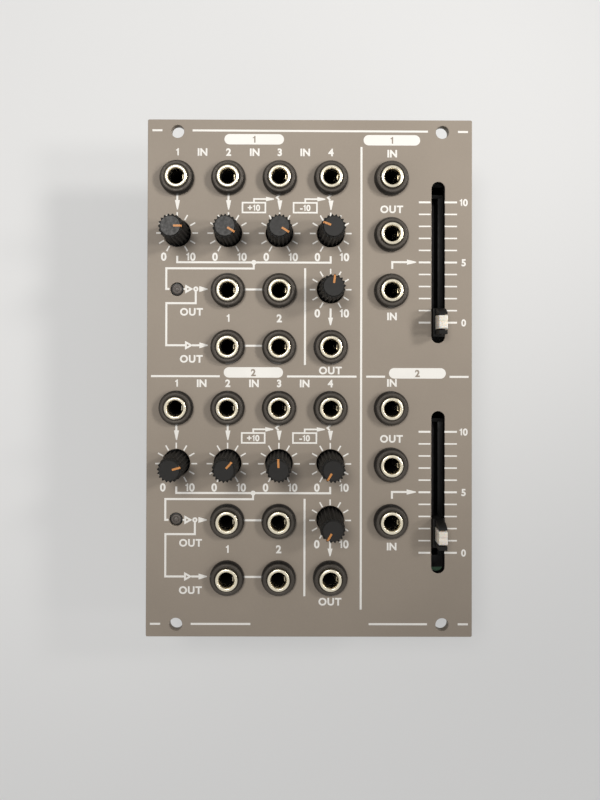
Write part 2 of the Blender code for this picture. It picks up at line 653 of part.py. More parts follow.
def main():
    remove_all_objects()
    meshes = {
        "jack": jack_mesh(),
        "knob": knob_mesh(),
        "pot": pot_mesh(),
        "led": led_mesh(),
        "fader_body": fader_body_mesh(),
        "fader_lever": fader_lever_mesh(),
        "fader_saddle": fader_saddle_mesh(),
        "board_link": board_link_mesh(),
        "board_spacer": spacer_mesh(),
    }
    materials = {
        "front_panel": make_material("panel_paint", (0.30, 0.27, 0.23), 0.55),
        "jack": make_material("jack_black", (0.035, 0.033, 0.032), 0.45),
        "knob": make_material("knob_black", (0.012, 0.012, 0.013), 0.45),
        "pot": make_material("pot_steel", (0.55, 0.55, 0.56), 0.35, 1.0),
        "led": make_material("led_smoke", (0.10, 0.08, 0.07), 0.25),
        "fader_body": make_material("fader_black", (0.02, 0.02, 0.02), 0.50),
        "fader_lever": make_material("fader_clear", (0.75, 0.70, 0.60), 0.30),
        "fader_saddle": make_material("saddle_black", (0.015, 0.015, 0.016), 0.45),
        "control_board": make_material("control_solder_mask", (0.02, 0.16, 0.07), 0.40),
        "main_board": make_material("main_solder_mask", (0.02, 0.14, 0.06), 0.40),
        "board_link": make_material("link_black", (0.02, 0.02, 0.02), 0.50),
        "board_spacer": make_material("spacer_brass", (0.70, 0.62, 0.40), 0.30, 1.0),
        "power_header": make_material("header_black", (0.02, 0.02, 0.022), 0.50),
    }
    module = add_empty("module", (0.0, 0.0, 0.0))
    build_front_panel(module, materials["front_panel"])
    for number, shift in enumerate(SECTION_SHIFTS, start=1):
        build_mixer(number, add_empty(f"mixer_{number}", (0.0, shift, 0.0), module), meshes, materials)
        build_glide(number, add_empty(f"glide_{number}", (0.0, shift, 0.0), module), meshes, materials)
    build_boards(module, meshes, materials)


main()
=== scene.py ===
import json
import math
import random
from functools import cache

import bmesh
import bpy
from mathutils import Matrix, Vector


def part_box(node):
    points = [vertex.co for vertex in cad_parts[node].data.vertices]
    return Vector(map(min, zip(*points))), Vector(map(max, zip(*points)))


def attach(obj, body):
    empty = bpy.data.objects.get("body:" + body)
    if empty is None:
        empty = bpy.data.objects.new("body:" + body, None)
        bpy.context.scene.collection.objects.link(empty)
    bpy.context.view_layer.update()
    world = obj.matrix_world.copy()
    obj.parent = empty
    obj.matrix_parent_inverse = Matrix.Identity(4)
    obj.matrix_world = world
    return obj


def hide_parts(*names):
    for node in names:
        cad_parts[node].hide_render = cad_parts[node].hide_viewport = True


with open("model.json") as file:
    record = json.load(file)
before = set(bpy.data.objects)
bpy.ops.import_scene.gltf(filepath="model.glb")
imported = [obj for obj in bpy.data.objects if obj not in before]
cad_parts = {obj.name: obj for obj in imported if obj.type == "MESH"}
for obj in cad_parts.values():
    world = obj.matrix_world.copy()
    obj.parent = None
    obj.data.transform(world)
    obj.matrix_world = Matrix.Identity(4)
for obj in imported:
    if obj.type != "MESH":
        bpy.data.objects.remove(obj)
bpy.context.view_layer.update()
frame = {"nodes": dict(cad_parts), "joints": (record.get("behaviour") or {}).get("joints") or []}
MM = 0.001


def middle(node):
    low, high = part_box(node)
    return (low.x + high.x) / 2, (low.y + high.y) / 2


def extent(node):
    """Width, length and height in millimetres."""
    low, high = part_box(node)
    return (high - low) / MM


def linked(name, data):
    """A new object, linked to the scene."""
    made = bpy.data.objects.new(name, data)
    bpy.context.scene.collection.objects.link(made)
    return made


def mesh_from(bm, name):
    mesh = bpy.data.meshes.new(name)
    bm.to_mesh(mesh)
    bm.free()
    return mesh


def evaluated(*pieces):
    """The mesh that the first piece's curve or modifiers make. The pieces leave the scene."""
    bpy.context.view_layer.update()
    mesh = bpy.data.meshes.new_from_object(pieces[0].evaluated_get(bpy.context.evaluated_depsgraph_get()))
    for piece in pieces:
        bpy.data.objects.remove(piece)
    return mesh


# Levels and places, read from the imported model. All plain lengths below are millimetres.
PANEL_LOW, PANEL_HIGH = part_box("front_panel")
BACK, FRONT = PANEL_LOW.z, PANEL_HIGH.z
SEAT, RIM = (corner.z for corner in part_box("mixer_1_in_jack_1"))
CONTROL_LOW, CONTROL_HIGH = (corner.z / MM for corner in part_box("control_board"))
MAIN_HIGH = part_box("main_board")[1].z / MM
BOARD_THICKNESS = CONTROL_HIGH - CONTROL_LOW
MAIN_LOW = MAIN_HIGH - BOARD_THICKNESS
UNDER = CONTROL_LOW - SEAT / MM  # the control board's back, from the seat of the parts on its front
LEG_END = UNDER - 1.2
JOINTS = {joint["name"]: joint for joint in frame["joints"]}
KNOB_JOINTS = [joint for joint in frame["joints"] if joint["type"] == "hinge"]
LEVEL_ROW = JOINTS["mixer_1_level_1_turn"]["pos_m"][1]
OFFSET_ROW = JOINTS["mixer_1_offset_turn"]["pos_m"][1]
SECTIONS = (0.0, JOINTS["mixer_2_level_1_turn"]["pos_m"][1] - LEVEL_ROW)
COLUMNS = [middle(f"mixer_1_in_jack_{number}")[0] / MM for number in (1, 2, 3, 4)]
FADER_COLUMN = middle("glide_1_fader_body")[0]
JACKS = [name for name in frame["nodes"] if "_jack" in name]
POTS = [name for name in frame["nodes"] if name.endswith("_pot")]
LAMPS = ("mixer_1_led", "mixer_2_led")
TURN_AT_ZERO = -150.0  # degrees clockwise from straight up, where a dial has its 0
PITCH = 2.54  # of pins in the boards' connectors
CORNERS = [(side, end) for side in (-1, 1) for end in (-1, 1)]


def feed(node, inputs):
    """Sets each input of a shader node to a value, or links an output to it."""
    for key, value in inputs.items():
        socket = node.inputs[key]
        if isinstance(value, bpy.types.NodeSocket):
            node.id_data.links.new(value, socket)
        else:
            socket.default_value = (*value, 1.0) if socket.type == "RGBA" else value


def add_node(tree, kind, inputs=None, **settings):
    made = tree.nodes.new(kind)
    for key, value in settings.items():
        setattr(made, key, value)
    feed(made, inputs or {})
    return made


def coordinates(tree):
    """Object coordinates in millimetres."""
    source = add_node(tree, "ShaderNodeTexCoord").outputs["Object"]
    inputs = {"Scale": (1 / MM, 1 / MM, 1 / MM), "Vector": source}
    return add_node(tree, "ShaderNodeMapping", inputs).outputs["Vector"]


def noise(tree, vector, scale, detail=3.0):
    inputs = {"Scale": scale, "Detail": detail, "Vector": vector}
    return add_node(tree, "ShaderNodeTexNoise", inputs).outputs["Fac"]


def spread_over(tree, value, low, high):
    """The middle of a noise, stretched over a range."""
    inputs = {"From Min": 0.3, "From Max": 0.7, "To Min": low, "To Max": high, "Value": value}
    return add_node(tree, "ShaderNodeMapRange", inputs).outputs["Result"]


def mix(tree, factor, first, second, kind="MIX"):
    inputs = {0: factor, 6: first, 7: second}
    return add_node(tree, "ShaderNodeMix", inputs, data_type="RGBA", blend_type=kind).outputs[2]


def surface(name, colour, roughness, spread, grain, metallic=0.0, mottle=0.06, relief=0.12, depth=0.02,
            gloss_spread=0.07, coat=0.0, specular=0.5, scatter=0.0, rings=0.0):
    """A finish with fine grain, broad mottling, uneven gloss and a slight relief or fine turning marks.

    spread is how far the grain's colours part, grain and mottle are the noises' scales per millimetre, and
    rings is the distance of the turning marks.
    """
    made = bpy.data.materials.new(name)
    made.use_nodes = True
    tree = made.node_tree
    shader = tree.nodes["Principled BSDF"]
    vector = coordinates(tree)
    darker = tuple(channel * (1 - spread) for channel in colour)
    lighter = tuple(min(channel * (1 + spread), 1.0) for channel in colour)
    grained = mix(tree, spread_over(tree, noise(tree, vector, grain * 4.0, 4.0), 0.0, 1.0), darker, lighter)
    patches = spread_over(tree, noise(tree, vector, mottle), 0.0, 1.0)
    patchy = mix(tree, patches, (0.96, 0.96, 0.96), (1.03, 1.03, 1.03))
    uneven = noise(tree, vector, grain * 0.9)
    height = noise(tree, vector, grain * 2.2, 2.0)
    if rings:
        inputs = {"Scale": 1 / rings / math.tau, "Distortion": 0.6, "Vector": vector}
        marks = add_node(tree, "ShaderNodeTexWave", inputs, wave_type="RINGS", rings_direction="Z")
        height = marks.outputs["Fac"]
    bump = add_node(tree, "ShaderNodeBump", {"Strength": relief, "Distance": depth * MM, "Height": height})
    feed(shader, {
        "Base Color": mix(tree, 1.0, grained, patchy, "MULTIPLY"),
        "Roughness": spread_over(tree, uneven, roughness - gloss_spread, roughness + gloss_spread),
        "Metallic": metallic,
        "Specular IOR Level": specular,
        "Normal": bump.outputs["Normal"],
    })
    if coat:
        feed(shader, {"Coat Weight": coat, "Coat Roughness": 0.12})
    if scatter:
        feed(shader, {"Subsurface Weight": scatter, "Subsurface Radius": (1.0, 0.8, 0.6),
                      "Subsurface Scale": 1.5 * MM})
    return made


# Finish: colour, roughness, spread, grain, and what differs from the defaults of surface()
FINISHES = {
    "panel_paint": ((0.336, 0.287, 0.235), 0.52, 0.035, 1.8, dict(
        mottle=0.05, relief=0.1, depth=0.012, gloss_spread=0.05, specular=0.25)),
    "bare_metal": ((0.62, 0.61, 0.59), 0.38, 0.06, 2.0, dict(metallic=1.0)),
    "panel_print": ((0.935, 0.915, 0.865), 0.5, 0.025, 3.0, dict(relief=0.08, depth=0.008, specular=0.25)),
    "jack_plastic": ((0.012, 0.012, 0.012), 0.42, 0.25, 1.0, {}),
    # Bore lining: black plastic made darker and duller than the body, as painted shade in the deep bore.
    "bore_black_and_shade": ((0.004, 0.0038, 0.0036), 0.75, 0.2, 1.0, dict(specular=0.06)),
    # Nut top: a lighter, part-metallic grey as painted sheen on the black nut; the nut's side below is
    # painted shade.
    "nut_top_black_and_sheen": ((0.06, 0.052, 0.044), 0.5, 0.08, 1.5, dict(metallic=0.7, relief=0.06, rings=0.06)),
    "nut_side_black_and_shade": ((0.008, 0.0075, 0.0075), 0.24, 0.15, 1.5, dict(specular=0.35)),
    "jack_metal": ((0.68, 0.62, 0.49), 0.27, 0.05, 1.5, dict(metallic=1.0, relief=0.04, rings=0.06)),
    "tin": ((0.62, 0.61, 0.58), 0.33, 0.08, 1.0, dict(metallic=1.0)),
    "gold": ((0.78, 0.56, 0.22), 0.28, 0.06, 1.5, dict(metallic=1.0)),
    "knob_plastic": ((0.011, 0.0104, 0.0096), 0.54, 0.2, 1.2, dict(relief=0.08, specular=0.15)),
    "knob_cap": ((0.007, 0.006, 0.005), 0.4, 0.15, 1.6, dict(relief=0.06, specular=0.32)),
    "pointer_paint": ((0.57, 0.235, 0.06), 0.45, 0.06, 2.0, {}),
    "pot_case": ((0.5, 0.5, 0.5), 0.36, 0.08, 0.8, dict(metallic=1.0)),
    "phenolic": ((0.3, 0.15, 0.06), 0.55, 0.12, 1.0, {}),
    "led_lens": ((0.098, 0.083, 0.072), 0.4, 0.08, 1.5, {}),
    # LED rim: darker than the lens, painted shade at the dome's edge.
    "led_rim_painted_shade": ((0.02, 0.017, 0.015), 0.35, 0.1, 1.5, {}),
    "fader_case": ((0.003, 0.0028, 0.0028), 0.45, 0.2, 1.0, dict(specular=0.17)),
    # Track floor: a dark grey, lightened as painted light in the shaded groove.
    "fader_track_grey_and_light": ((0.036, 0.031, 0.032), 0.6, 0.15, 1.0, {}),
    "fader_clear": ((0.84, 0.78, 0.69), 0.3, 0.04, 1.2, dict(scatter=0.5)),
    "saddle_plastic": ((0.0065, 0.006, 0.0055), 0.48, 0.2, 1.2, dict(specular=0.18)),
    "solder_mask": ((0.022, 0.075, 0.036), 0.32, 0.12, 0.8, dict(mottle=0.1, coat=0.2)),
    "trace": ((0.036, 0.125, 0.058), 0.3, 0.1, 1.0, dict(coat=0.2)),
    "bare_board": ((0.3, 0.27, 0.12), 0.65, 0.18, 2.5, {}),
    "silk": ((0.78, 0.78, 0.74), 0.6, 0.04, 2.0, {}),
    "chip_plastic": ((0.02, 0.02, 0.022), 0.55, 0.2, 2.0, {}),
    "can_mark": ((0.012, 0.016, 0.04), 0.38, 0.15, 1.0, {}),
    "ceramic": ((0.33, 0.25, 0.17), 0.5, 0.12, 2.0, {}),
    "link_plastic": ((0.018, 0.018, 0.018), 0.5, 0.2, 1.0, {}),
    "spacer_brass": ((0.66, 0.6, 0.46), 0.3, 0.06, 1.0, dict(metallic=1.0)),
    "header_plastic": ((0.018, 0.018, 0.02), 0.48, 0.2, 1.0, {}),
}
MATERIALS = {name: surface(name, *values, **more) for name, (*values, more) in FINISHES.items()}


def finish_mesh(bm, name, materials, angle=35.0, merge=True):
    if merge:
        bmesh.ops.remove_doubles(bm, verts=bm.verts, dist=0.0002 * MM)
    bmesh.ops.recalc_face_normals(bm, faces=bm.faces)
    mesh = mesh_from(bm, name)
    mesh.shade_smooth()
    mesh.set_sharp_from_angle(angle=math.radians(angle))
    for material in materials:
        mesh.materials.append(MATERIALS[material])
    return mesh


def place(name, mesh, where=(0.0, 0.0, 0.0), body="root", turn=0.0, node=None):
    """Places a mesh, lets it ride on a body and says which node it stands for."""
    made = linked(name, mesh)
    made.location = where
    made.rotation_euler = (0.0, 0.0, -math.radians(turn))
    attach(made, body)
    if node:
        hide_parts(node)


def lathe(bm, profile, steps=32, x=0.0, y=0.0, material=0, start=0.0):
    """A turned shape about a vertical axis. The profile is (radius, height) points."""
    rings = []
    for radius, height in profile:
        spots = ring_of(radius, steps, x, y, start) if radius else [(x, y)]
        rings.append([bm.verts.new((px * MM, py * MM, height * MM)) for px, py in spots])
    for low, high in zip(rings, rings[1:]):
        for step in range(steps):
            after = (step + 1) % steps
            corners = (low[step % len(low)], low[after % len(low)], high[after % len(high)],
                       high[step % len(high)])
            bm.faces.new(list(dict.fromkeys(corners))).material_index = material


def bevel(bm, edges, width, segments=2):
    bmesh.ops.bevel(bm, geom=edges, offset=width * MM, segments=segments, profile=0.5, affect="EDGES",
                    material=-1)


def block(bm, low, high, break_width=0.0, material=0, segments=2):
    """A box between two corners, with its edges broken."""
    low, high = Vector(low) * MM, Vector(high) * MM
    made = bmesh.ops.create_cube(bm, size=1.0)
    size = high - low
    for vert in made["verts"]:
        vert.co = Vector([low[axis] + (vert.co[axis] + 0.5) * size[axis] for axis in range(3)])
    for face in {face for vert in made["verts"] for face in vert.link_faces}:
        face.material_index = material
    if break_width:
        bevel(bm, list({edge for vert in made["verts"] for edge in vert.link_edges}), break_width, segments)


def slab(bm, x, y, width, length, low, high, break_width=0.0, material=0):
    """A box by its middle, its width and length, and its two heights in either order."""
    low, high = min(low, high), max(low, high)
    wide, long = width / 2, length / 2
    block(bm, (x - wide, y - long, low), (x + wide, y + long, high), break_width, material)


def sweep(bm, outline, low, high, axis=2, material=0):
    """A closed outline swept along an axis. Its points lie in the plane across that axis."""
    def corner(first, second, along):
        spot = [first, second]
        spot.insert(axis, along)
        return bm.verts.new(Vector(spot) * MM)

    near = [corner(first, second, low) for first, second in outline]
    far = [corner(first, second, high) for first, second in outline]
    faces = [bm.faces.new(near), bm.faces.new(list(reversed(far)))]
    for step in range(len(outline)):
        after = (step + 1) % len(outline)
        faces.append(bm.faces.new((near[step], far[step], far[after], near[after])))
    for face in faces:
        face.material_index = material


def ribbon(points, width, closed=False):
    """The two sides of an even line along points, with mitred corners."""
    points = [Vector(point) for point in points]
    count = len(points)
    left, right = [], []
    for index, point in enumerate(points):
        before = (point - points[index - 1]).normalized() if index or closed else None
        after = (points[(index + 1) % count] - point).normalized() if index < count - 1 or closed else None
        before = before or after
        after = after or before
        first = Vector((-before.y, before.x))
        mitre = (first + Vector((-after.y, after.x))).normalized()
        offset = mitre * width / 2 / max(mitre.dot(first), 0.35)
        left.append(tuple(point + offset))
        right.append(tuple(point - offset))
    return left, right


def strip(bm, path, thickness, low, high, axis=0, material=0):
    """Bent sheet of an even thickness, swept along an axis."""
    left, right = ribbon(path, thickness)
    sweep(bm, left + right[::-1], low, high, axis, material)


def stroke(bm, points, width, low, high, closed=False, material=0):
    """A raised line of an even width between two heights."""
    left, right = ribbon(points, width, closed)
    rows = [
        [bm.verts.new((x * MM, y * MM, z * MM)) for (x, y), z in ((a, low), (a, high), (b, high), (b, low))]
        for a, b in zip(left, right)
    ]
    faces = []
    for here, there in zip(rows, rows[1:] + rows[:1] if closed else rows[1:]):
        for side in range(4):
            after = (side + 1) % 4
            faces.append(bm.faces.new((here[side], there[side], there[after], here[after])))
    if not closed:
        faces += [bm.faces.new(rows[0]), bm.faces.new(list(reversed(rows[-1])))]
    for face in faces:
        face.material_index = material


def on_circle(x, y, radius, turns):
    return [(x + radius * math.cos(turn), y + radius * math.sin(turn)) for turn in turns]


def ring_of(radius, sides, x=0.0, y=0.0, start=0.0):
    return on_circle(x, y, radius, [start + math.tau * step / sides for step in range(sides)])


def arc(x, y, radius, start, end, steps=12):
    step = (end - start) / steps
    return on_circle(x, y, radius, [math.radians(start + step * number) for number in range(steps + 1)])


def solder(bm, x, y, level, up, material=0):
    """A joint round a leg, on the side of the board that faces up (1) or down (-1)."""
    lathe(bm, [(0.95, level), (0.62, level + 0.22 * up), (0.42, level + 0.55 * up), (0.33, level + 0.95 * up),
               (0.0, level + 1.02 * up)], 16, x, y, material)


# Front panel
PLATE_BREAK = 0.12
MOUNT_HOLE = (33.02, 61.25, 1.6)
JACK_HOLE, KNOB_HOLE, LAMP_HOLE, SLOT_RADIUS, SLOT_REACH = 3.05, 3.42, 1.68, 1.65, 20.1


def build_panel():
    """The painted plate with its holes, a narrow break on every edge and a bare back. Its slot walls are
    painted black as shade.
    """
    curve = bpy.data.curves.new("panel_plate", "CURVE")
    curve.dimensions = "2D"
    curve.fill_mode = "BOTH"

    def add_outline(points):
        spline = curve.splines.new("POLY")
        spline.points.add(len(points) - 1)
        for point, (x, y) in zip(spline.points, points):
            point.co = (x * MM, y * MM, 0.0, 1.0)
        spline.use_cyclic_u = True

    width, height, corner = PANEL_HIGH.x / MM, PANEL_HIGH.y / MM, 0.35
    outline = []
    for quarter, (side, end) in enumerate(((1, 1), (-1, 1), (-1, -1), (1, -1))):
        start = 90 * quarter
        outline += arc(side * (width - corner), end * (height - corner), corner, start, start + 90, 4)
    add_outline(outline)
    x, y, radius = MOUNT_HOLE
    for side, end in CORNERS:
        add_outline(ring_of(radius, 48, side * x, end * y))
    holes = [(*middle(name), JACK_HOLE) for name in JACKS]
    holes += [(*joint["pos_m"][:2], KNOB_HOLE) for joint in KNOB_JOINTS]
    holes += [(*middle(name), LAMP_HOLE) for name in LAMPS]
    for x, y, radius in holes:
        add_outline(ring_of(radius, 64, x / MM, y / MM))
    for number in (1, 2):
        x, y = middle(f"glide_{number}_fader_body")
        x, y, end = x / MM, y / MM, SLOT_REACH - SLOT_RADIUS
        add_outline(arc(x, y + end, SLOT_RADIUS, 0, 180, 24) + arc(x, y - end, SLOT_RADIUS, 180, 360, 24))
    curve.bevel_depth = PLATE_BREAK * MM
    curve.bevel_resolution = 2
    curve.extrude = (FRONT - BACK) / 2 - PLATE_BREAK * MM
    curve.offset = -PLATE_BREAK * MM
    mesh = evaluated(linked("panel_plate", curve))
    mesh.transform(Matrix.Translation((0.0, 0.0, (FRONT + BACK) / 2)))
    mesh.materials.clear()
    for name in ("panel_paint", "bare_metal", "fader_case"):
        mesh.materials.append(MATERIALS[name])
    for face in mesh.polygons:
        face.material_index = 1 if face.normal.z < -0.99 else 0
        face.use_smooth = abs(face.normal.z) <= 0.99
        # The slot walls take the fader case's black: painted shade for the dark inside of the slots.
        if abs(face.normal.z) < 0.5 and abs(face.center.x - FADER_COLUMN) < 1.2 * SLOT_RADIUS * MM:
            face.material_index = 2 if abs(face.center.y) < PANEL_HIGH.y - 2 * MM else 0
    mesh.name = "panel"
    place("panel", mesh, node="front_panel")


# Print on the panel. Its places were measured in the photograph, from the middle of the panel.
PRINT_LOW, PRINT_HIGH = -0.01, 0.018
LINE, FINE, THIN = 0.50, 0.42, 0.36
WEIGHT, LETTER_GAP = 0.038, 0.080
LETTERS, DIAL_FIGURES, OUTPUT_FIGURES, SCALE_FIGURES, BOX_FIGURES = 1.8, 1.95, 1.9, 1.7, 1.5
TICKS, TICK_TURN, TICK_REACH = 11, 30, (3.75, 5.2)
SCALE_FOOT, SCALE_STEP, PILL_RADIUS = 13.73, 3.0, 1.3


def print_levels(bm, raised=0.0):
    """The two heights of the next shape. Shapes that cross take turns, so that no two tops share a level."""
    turn = len(bm.verts) % 7 * 0.0012
    return FRONT / MM + PRINT_LOW, FRONT / MM + PRINT_HIGH + raised + turn


def line(bm, points, width=LINE, closed=False):
    stroke(bm, points, width, *print_levels(bm), closed=closed)


def flat(bm, outline):
    sweep(bm, outline, *print_levels(bm))


# The figure 1 without a foot, as a plain outline
ONE = [(0.02, 0.0), (0.16, 0.0), (0.16, 0.72), (0.05, 0.72), (0.02, 0.62), (-0.11, 0.58), (-0.11, 0.48),
       (0.02, 0.48)]


@cache
def figure_shape(letter):
    """One figure or letter as a solid one unit thick, with its foot on the line, and its width and height."""
    if letter == "1":
        bm = bmesh.new()
        sweep(bm, [(x / MM, y / MM) for x, y in ONE], -0.5 / MM, 0.5 / MM)
        shape = mesh_from(bm, "figure")
    else:
        curve = bpy.data.curves.new("figure", "FONT")
        curve.body = letter
        curve.extrude = 0.5
        curve.offset = WEIGHT
        curve.resolution_u = 4
        shape = evaluated(linked("figure", curve))
    across = [vert.co.x for vert in shape.vertices]
    upward = [vert.co.y for vert in shape.vertices]
    shape.transform(Matrix.Translation((-min(across), 0.0, 0.0)))
    return shape, max(across) - min(across), max(upward)


def write(bm, text, x, y, height, raised=0.0):
    """Plain figures, or the word IN or OUT, with their middle at a place."""
    shapes = [figure_shape(letter) for letter in text]
    scale = height / figure_shape("I")[2]
    width = sum(shape[1] for shape in shapes) + LETTER_GAP * (len(shapes) - 1)
    low, high = print_levels(bm, raised)
    left = x - width * scale / 2
    for shape, wide, _ in shapes:
        copy = shape.copy()
        where = Vector((left, y - height / 2, (low + high) / 2)) * MM
        copy.transform(Matrix.LocRotScale(where, None, Vector((scale, scale, high - low)) * MM))
        bm.from_mesh(copy)
        bpy.data.meshes.remove(copy)
        left += (wide + LETTER_GAP) * scale


def arrow_head(bm, x, y, dx, dy, length, wide, narrow=0.25):
    """A solid arrow head whose base is at a place and which points along (dx, dy)."""
    outline = []
    for along, half in ((0, wide / 2), (0, -wide / 2), (length, -narrow / 2), (length, narrow / 2)):
        outline.append((x + dx * along - dy * half, y + dy * along + dx * half))
    flat(bm, outline)


def print_borders(bm):
    """Lines at both ends of the panel and between its sections."""
    for points in (
        ((-39.3, 61.5), (-36.8, 61.5)), ((-29.3, 61.5), (29.4, 61.4)), ((36.9, 61.35), (39.4, 61.35)),
        ((-39.4, -61.1), (-36.85, -61.1)), ((-29.3, -61.1), (-14.5, -61.1)), ((14.8, -61.1), (29.3, -61.1)),
        ((36.9, -61.1), (39.45, -61.1)), ((-39.4, 0.25), (-22.3, 0.25)), ((-5.6, 0.25), (11.7, 0.25)),
        ((14.1, 0.25), (18.8, 0.25)), ((34.85, 0.25), (39.6, 0.25)), ((12.83, 57.5), (12.83, -57.5)),
    ):
        line(bm, points)


def print_dial(bm, x, y):
    """Eleven ticks a twelfth of a turn apart, with the figures of the two ends."""
    for step in range(TICKS):
        turn = math.radians(90 - TURN_AT_ZERO - TICK_TURN * step)
        line(bm, [(x + reach * math.cos(turn), y + reach * math.sin(turn)) for reach in TICK_REACH], THIN)
    write(bm, "0", x - 3.30, y - 5.85, DIAL_FIGURES)
    write(bm, "10", x + 3.45, y - 5.85, DIAL_FIGURES)


def print_mixer(bm, shift):
    """Dials, switch arrows, boxes and brackets of one mixer."""
    for column in COLUMNS:
        print_dial(bm, column, LEVEL_ROW / MM + shift)
    print_dial(bm, COLUMNS[3], OFFSET_ROW / MM + shift)
    head = 44.1 + shift
    for column in COLUMNS[:2]:
        line(bm, [(column, 45.6 + shift), (column, head)])
    switch = ((0.1, 45.5), (-0.75, 44.8), (-0.1, 44.2))
    for column in COLUMNS[2:]:
        line(bm, [(column + x, y + shift) for x, y in switch], FINE)
    for column in COLUMNS:
        arrow_head(bm, column + 0.05, head, 0, -1, 2.35, 1.25, 0.26)
    for left, right, text in ((-17.0, -10.9, "+10"), (-4.27, 1.95, "-10")):
        low, high = 40.85 + shift, 43.7 + shift
        sides, ends = (left + 0.2, right - 0.2), (low + 0.2, high - 0.2)
        corners = [(sides[0], ends[0]), (sides[1], ends[0]), (sides[1], ends[1]), (sides[0], ends[1])]
        line(bm, corners, 0.4, closed=True)
        centre = (left + right) / 2
        write(bm, text, centre, (low + high) / 2, BOX_FIGURES)
        line(bm, [(centre, high), (centre, high + 0.72), (centre + 3.0, high + 0.72)], FINE)
        arrow_head(bm, centre + 3.0, high + 0.72, 1, 0, 2.0, 1.1)
    bracket = 28.6 + shift
    line(bm, [(-33.0, 30.2 + shift), (-33.0, bracket), (5.2, bracket), (5.2, 30.2 + shift)])
    flat(bm, ring_of(0.62, 20, -13.94, bracket))
    lamp_row = 21.93 + shift
    line(bm, [(-13.94, bracket), (-13.94, 27.08 + shift), (-35.7, 27.08 + shift), (-35.7, lamp_row),
              (-34.9, lamp_row)])
    print_signal_path(bm, shift, lamp_row)
    for row in (21.86 + shift, 7.85 + shift):
        line(bm, [(-16.0, row), (-11.9, row)])
    for number, column in enumerate(COLUMNS[1:3], start=1):
        write(bm, str(number), column, 14.74 + shift, OUTPUT_FIGURES)
    line(bm, [(-1.15, 27.2 + shift), (-1.15, 3.1 + shift)])
    line(bm, [(COLUMNS[3], 17.2 + shift), (COLUMNS[3], 14.9 + shift)])
    arrow_head(bm, COLUMNS[3], 14.9 + shift, 0, -1, 1.9, 1.25)
    for x, y in ((-29.4, 16.3), (-29.4, 4.6), (5.2, 1.8)):
        write(bm, "OUT", x, y + shift, LETTERS)


def print_signal_path(bm, shift, lamp_row):
    """From the lamp through the inverter to the first output row, and down to the second."""
    row = 7.93 + shift
    for level in (lamp_row, row):
        line(bm, [(-30.75, level + 0.72), (-29.45, level), (-30.75, level - 0.72)], 0.46, closed=True)
    line(bm, [(-31.4, lamp_row), (-30.9, lamp_row)], THIN)
    line(bm, ring_of(0.42, 20, -28.35, lamp_row), 0.44, closed=True)
    line(bm, [(-28.35, lamp_row - 0.5), (-28.35, 18.4 + shift), (-35.65, 18.4 + shift), (-35.65, row),
              (-30.9, row)])
    arrow_head(bm, -27.5, lamp_row, 1, 0, 2.1, 1.45)
    line(bm, [(-29.2, row), (-27.4, row)])
    arrow_head(bm, -27.4, row, 1, 0, 2.1, 1.45)


def print_glide(bm, shift):
    for x, y, text in ((20.5, 55.9, "IN"), (20.4, 42.0, "OUT"), (20.5, 15.3, "IN")):
        write(bm, text, x, y + shift, LETTERS)
    line(bm, [(20.55, 27.1 + shift), (20.55, 28.78 + shift), (24.2, 28.78 + shift)])
    arrow_head(bm, 24.2, 28.78 + shift, 1, 0, 2.3, 1.3)
    for step in range(TICKS):
        y = SCALE_FOOT + SCALE_STEP * step + shift
        for start, end in ((27.15, 30.1), (33.6, 36.7)):
            line(bm, [(start, y), (end, y)], 0.48 if step % 5 == 0 else THIN)
        if step % 5 == 0:
            write(bm, str(step), 38.35, y, SCALE_FIGURES)


def build_print():
    """The white print, and the panel's colour again for the figures on the pills.

    The lower section's print settles a little below the place that its knobs give.
    """
    bm = bmesh.new()
    print_borders(bm)
    pills = ((-13.93, 59.33, 14.86, "1"), (20.4, 59.2, 14.13, "1"), (-13.96, 1.22, 14.74, "2"),
             (26.85, 1.1, 14.16, "2"))
    for x, y, length, _ in pills:
        end = length / 2 - PILL_RADIUS
        flat(bm, arc(x + end, y, PILL_RADIUS, -90, 90) + arc(x - end, y, PILL_RADIUS, 90, 270))
    for shift, row, settle in zip(SECTIONS, (56.15, -1.45), (0.0, -0.17)):
        for number, column in enumerate(COLUMNS, start=1):
            write(bm, str(number), column, row, LETTERS)
        for x in (-26.8, -13.8, -1.2):
            write(bm, "IN", x, row, LETTERS)
        print_mixer(bm, shift / MM + settle)
        print_glide(bm, shift / MM)
    place("panel_print", finish_mesh(bm, "panel_print", ["panel_print"], merge=False))
    figures = bmesh.new()
    for x, y, _, text in pills:
        write(figures, text, x, y, SCALE_FIGURES, raised=0.012)
    place("panel_figures", finish_mesh(figures, "panel_figures", ["panel_paint"], merge=False))


def bored(solid, radius, low, high):
    """The same solid with a round bore down its middle."""
    cutter = bmesh.new()
    lathe(cutter, [(0.0, low), (radius, low), (radius, high), (0.0, high)], 40)
    pair = []
    for bm in (solid, cutter):
        bmesh.ops.recalc_face_normals(bm, faces=bm.faces)
        pair.append(linked("bored", mesh_from(bm, "bored")))
    modifier = pair[0].modifiers.new("bore", "BOOLEAN")
    modifier.operation = "DIFFERENCE"
    modifier.solver = "EXACT"
    modifier.use_self = True
    modifier.object = pair[1]
    made = bmesh.new()
    made.from_mesh(evaluated(*pair))
    return made


# Jacks: the bore's floor above the seat, the depth of its metal lining, and half the body's size
BORE_FLOOR, METAL_LINING = 1.1, 2.6
BODY_SIDE, BODY_END = 4.5, 5.25


